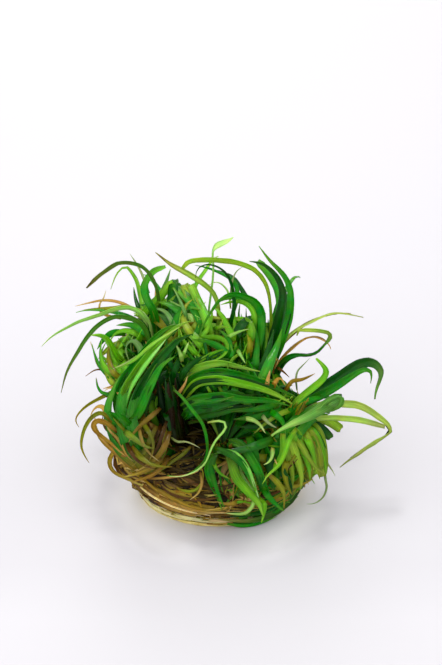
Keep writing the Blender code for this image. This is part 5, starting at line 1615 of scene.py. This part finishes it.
def dress_roots():
    """The roots wound round the pad's rim, the fine ones under it and the thick ones round its top."""
    rng = rng_for("root_pad_roots")
    roots = Tuft()
    for _ in range(RIM_ROOTS):
        height = np.clip(PAD_HEIGHT + 0.5 - abs(rng.normal(0.0, 1.1)), 0.5, PAD_HEIGHT + 0.5)
        turn = rng.uniform(0, math.tau) + rng.choice((-1, 1)) * rng.uniform(0.25, 1.3) * ROOT_LINE
        sway = rng.uniform(0.1, 0.6) * np.sin(math.tau * (rng.uniform(0.6, 2.2) * ROOT_LINE + rng.uniform()))
        radius = PAD_RADIUS - 0.35 + 0.5 * sway
        level = np.clip(height + sway + rng.normal(0.0, 0.6) * ROOT_LINE, 0.4, PAD_HEIGHT + 0.9)
        places = round_places(turn, radius, level)
        tone = rng.choice(("root", "root", "tan", "olive"))
        roots.stalk(STALK, places, rng.uniform(0.4, 0.95), tinted(tone, rng, 0.2))
    for _ in range(UNDER_ROOTS):
        turn = rng.uniform(0, math.tau) + rng.uniform(0.8, 2.4) * ROOT_LINE
        reach = PAD_RADIUS - rng.uniform(2.0, 20.0)
        radius = reach * (1.0 - 0.45 * np.sin(math.pi * ROOT_LINE) * rng.uniform(0.2, 1.0))
        places = round_places(turn, radius, 0.35)
        roots.stalk(HAIR, places, rng.uniform(0.4, 0.7), tinted("root", rng, 0.2))
    for _ in range(THICK_ROOTS):
        turn = rng.uniform(0, math.tau) + rng.uniform(0.7, 1.8) * ROOT_LINE
        radius = PAD_RADIUS + rng.uniform(-1.6, 0.0) + 0.25 * np.sin(math.tau * (ROOT_LINE + rng.uniform()))
        level = PAD_HEIGHT + rng.uniform(-0.6, 0.7)
        level = level + 0.3 * np.sin(math.tau * (0.8 * ROOT_LINE + rng.uniform()))
        places = round_places(turn, radius, level)
        roots.stalk(STALK, places, rng.uniform(0.8, 1.5), tinted("root", rng, 0.2), 0.3)
    roots.finish("root_pad_roots", ROOT, ["root_pad"])


# How much of its width a leaf at the back turns towards the viewer.
BACK_SPREAD = 0.8


def dress_all():
    """Every piece of the clump, each on its solid."""
    dress_gel()
    dress_roots()
    dress_mat()
    crowns = [crown for crown, _ in BUNDLES + ARC_BUNDLES if crown]
    leaves, routes, faces, home = [], [], [], []
    for crown, bundle in BUNDLES:
        for leaf in bundle:
            leaves.append(leaf)
            routes.append(drawn_route(leaf))
            faces.append((TOWARDS, leaf.twist))
            home.append(crowns.index(crown) if crown else -1)
    for crown, bundle in ARC_BUNDLES:
        for arc in bundle:
            leaves.append(arc)
            routes.append(arc_route(arc, crown))
            heading = math.radians(arc.heading)
            faces.append((np.array((-math.cos(heading), -math.sin(heading), 0.0)), (0.0, 0.0)))
            home.append(crowns.index(crown))
    uv, depth = (np.array(values) for values in zip(*routes))
    width = np.array([leaf.width for leaf in leaves])
    spread = np.array([math.sin(math.radians(max(map(abs, twist)))) if face is TOWARDS else BACK_SPREAD
                       for face, twist in faces])
    depth = settle(uv, depth, width, spread, np.array(home), crowns)
    for leaf, seen, near, (face, twist) in zip(leaves, uv, depth, faces):
        dress_leaf(leaf, seen, near, face, twist)
    shown = (uv.reshape(-1, 2), depth.reshape(-1), np.repeat(width / 2, ROUTE_STEPS))
    clump = clump_leaves(crowns, shown)
    for crown in crowns:
        dress_crown(crown, shown, clump)


# The lamps: the kind, the place, the aim, the energy, the angle in degrees or the size, and the colour.
WHITE = (1.0, 1.0, 1.0)
MIDDLE = (0.0, 0.0, 0.0)
LAMPS = {
    "overhead": ("SUN", (-0.05, 0.1, 1.0), MIDDLE, 1.45, 60.0, (1.0, 0.99, 0.96)),
    "front": ("SUN", (-0.15, -1.0, 0.6), MIDDLE, 1.2, 70.0, WHITE),
    "left": ("SUN", (-1.0, -0.35, 0.4), MIDDLE, 1.75, 80.0, WHITE),
    "right": ("SUN", (1.0, -0.25, 0.4), MIDDLE, 1.25, 80.0, WHITE),
    "window": ("AREA", (-0.08, 0.2, 0.9), (0.0, 0.0, 0.05), 2.5, 0.14, WHITE),
    "far_fill": ("AREA", (-0.1, 1.7, 1.0), (0.0, 1.1, 0.0), 16.5, 1.2, WHITE),
}
ROOM_LIGHT = 0.34


def add_light(name, kind, place, aim, energy, size, colour):
    """A lamp that shines from its place towards its aim, in metres."""
    data = bpy.data.lights.new(name, kind)
    data.energy = energy
    data.color = colour
    if kind == "SUN":
        data.angle = math.radians(size)
    else:
        data.shape = "DISK"
        data.size = size
    lamp = bpy.data.objects.new(name, data)
    bpy.context.scene.collection.objects.link(lamp)
    lamp.location = place
    way = np.array(aim) - np.array(place)
    lamp.rotation_euler = Vector(way).to_track_quat("-Z", "Y").to_euler()


def sheet_material():
    """A matt white sheet with painted light: paler close to the pad's sides, lightening the shadow there, and
    a little paler far in front of it.
    """
    material, tree = new_material("matt white sheet")
    spot = add_node(tree, "TexCoord").outputs["Object"]
    far = add_node(tree, "VectorMath", {"operation": "DISTANCE"},
                   {0: spot, 1: (0.0, -8.0 * MM, 0.0)}).outputs["Value"]
    near = add_node(tree, "MapRange", {"interpolation_type": "SMOOTHSTEP"}, {
        "Value": far, "From Min": 30.0 * MM, "From Max": 46.0 * MM, "To Min": 1.0, "To Max": 0.0})
    split = add_node(tree, "SeparateXYZ", inputs={"Vector": spot}).outputs
    apart = add_node(tree, "Math", {"operation": "ABSOLUTE"}, {0: split["X"]})
    painted_light_beside_pad = add_node(tree, "MapRange", inputs={
        "Value": apart, "From Min": 4.0 * MM, "From Max": 34.0 * MM, "To Min": 0.05, "To Max": 1.0})
    front = add_node(tree, "MapRange", inputs={
        "Value": split["Y"], "From Min": -48.0 * MM, "From Max": -78.0 * MM, "To Min": 0.0, "To Max": 0.08})
    # How much painted light the sheet gets: most beside the pad, a little far in front.
    bright = add_node(tree, "Math", {"operation": "MULTIPLY_ADD"}, {0: near, 1: painted_light_beside_pad, 2: front})
    sheet_colour_with_painted_light = add_node(tree, "Mix", {"data_type": "RGBA"},
                     {0: bright, 6: (*linear("bcbabf"), 1.0), 7: (*linear("f2f0f2"), 1.0)}).outputs[2]
    skin = add_node(tree, "BsdfPrincipled", inputs={
        "Base Color": sheet_colour_with_painted_light, "Roughness": 0.6, "Specular IOR Level": 0.2})
    add_node(tree, "OutputMaterial", inputs={"Surface": skin})
    return material


def add_floor():
    """The flat sheet that the clump stands on."""
    sheet = bmesh.new()
    bmesh.ops.create_grid(sheet, x_segments=1, y_segments=1, size=4.0)
    mesh = as_mesh(sheet, "floor")
    mesh.materials.append(sheet_material())
    floor = bpy.data.objects.new("floor", mesh)
    bpy.context.scene.collection.objects.link(floor)


def add_camera():
    """The camera, which sees the clump as it is drawn."""
    lens = bpy.data.cameras.new("camera")
    lens.sensor_width = SENSOR
    lens.lens = SENSOR * VIEW_DISTANCE / (PICTURE[1] / PIXELS_PER_MM)
    lens.clip_start = 0.01
    camera = bpy.data.objects.new("camera", lens)
    bpy.context.scene.collection.objects.link(camera)
    camera.location = VIEWER * MM
    camera.rotation_euler = (math.radians(90.0 - VIEW_TILT), 0.0, 0.0)
    bpy.context.scene.camera = camera


def set_stage():
    """The pale floor, the soft light and the camera."""
    add_floor()
    scene = bpy.context.scene
    scene.world = bpy.data.worlds.new("studio")
    scene.world.use_nodes = True
    background = scene.world.node_tree.nodes["Background"]
    background.inputs["Color"].default_value = (*WHITE, 1.0)
    background.inputs["Strength"].default_value = ROOM_LIGHT
    for name, settings in LAMPS.items():
        add_light(name, *settings)
    add_camera()
    scene.view_settings.view_transform = "Standard"


dress_all()
set_stage()
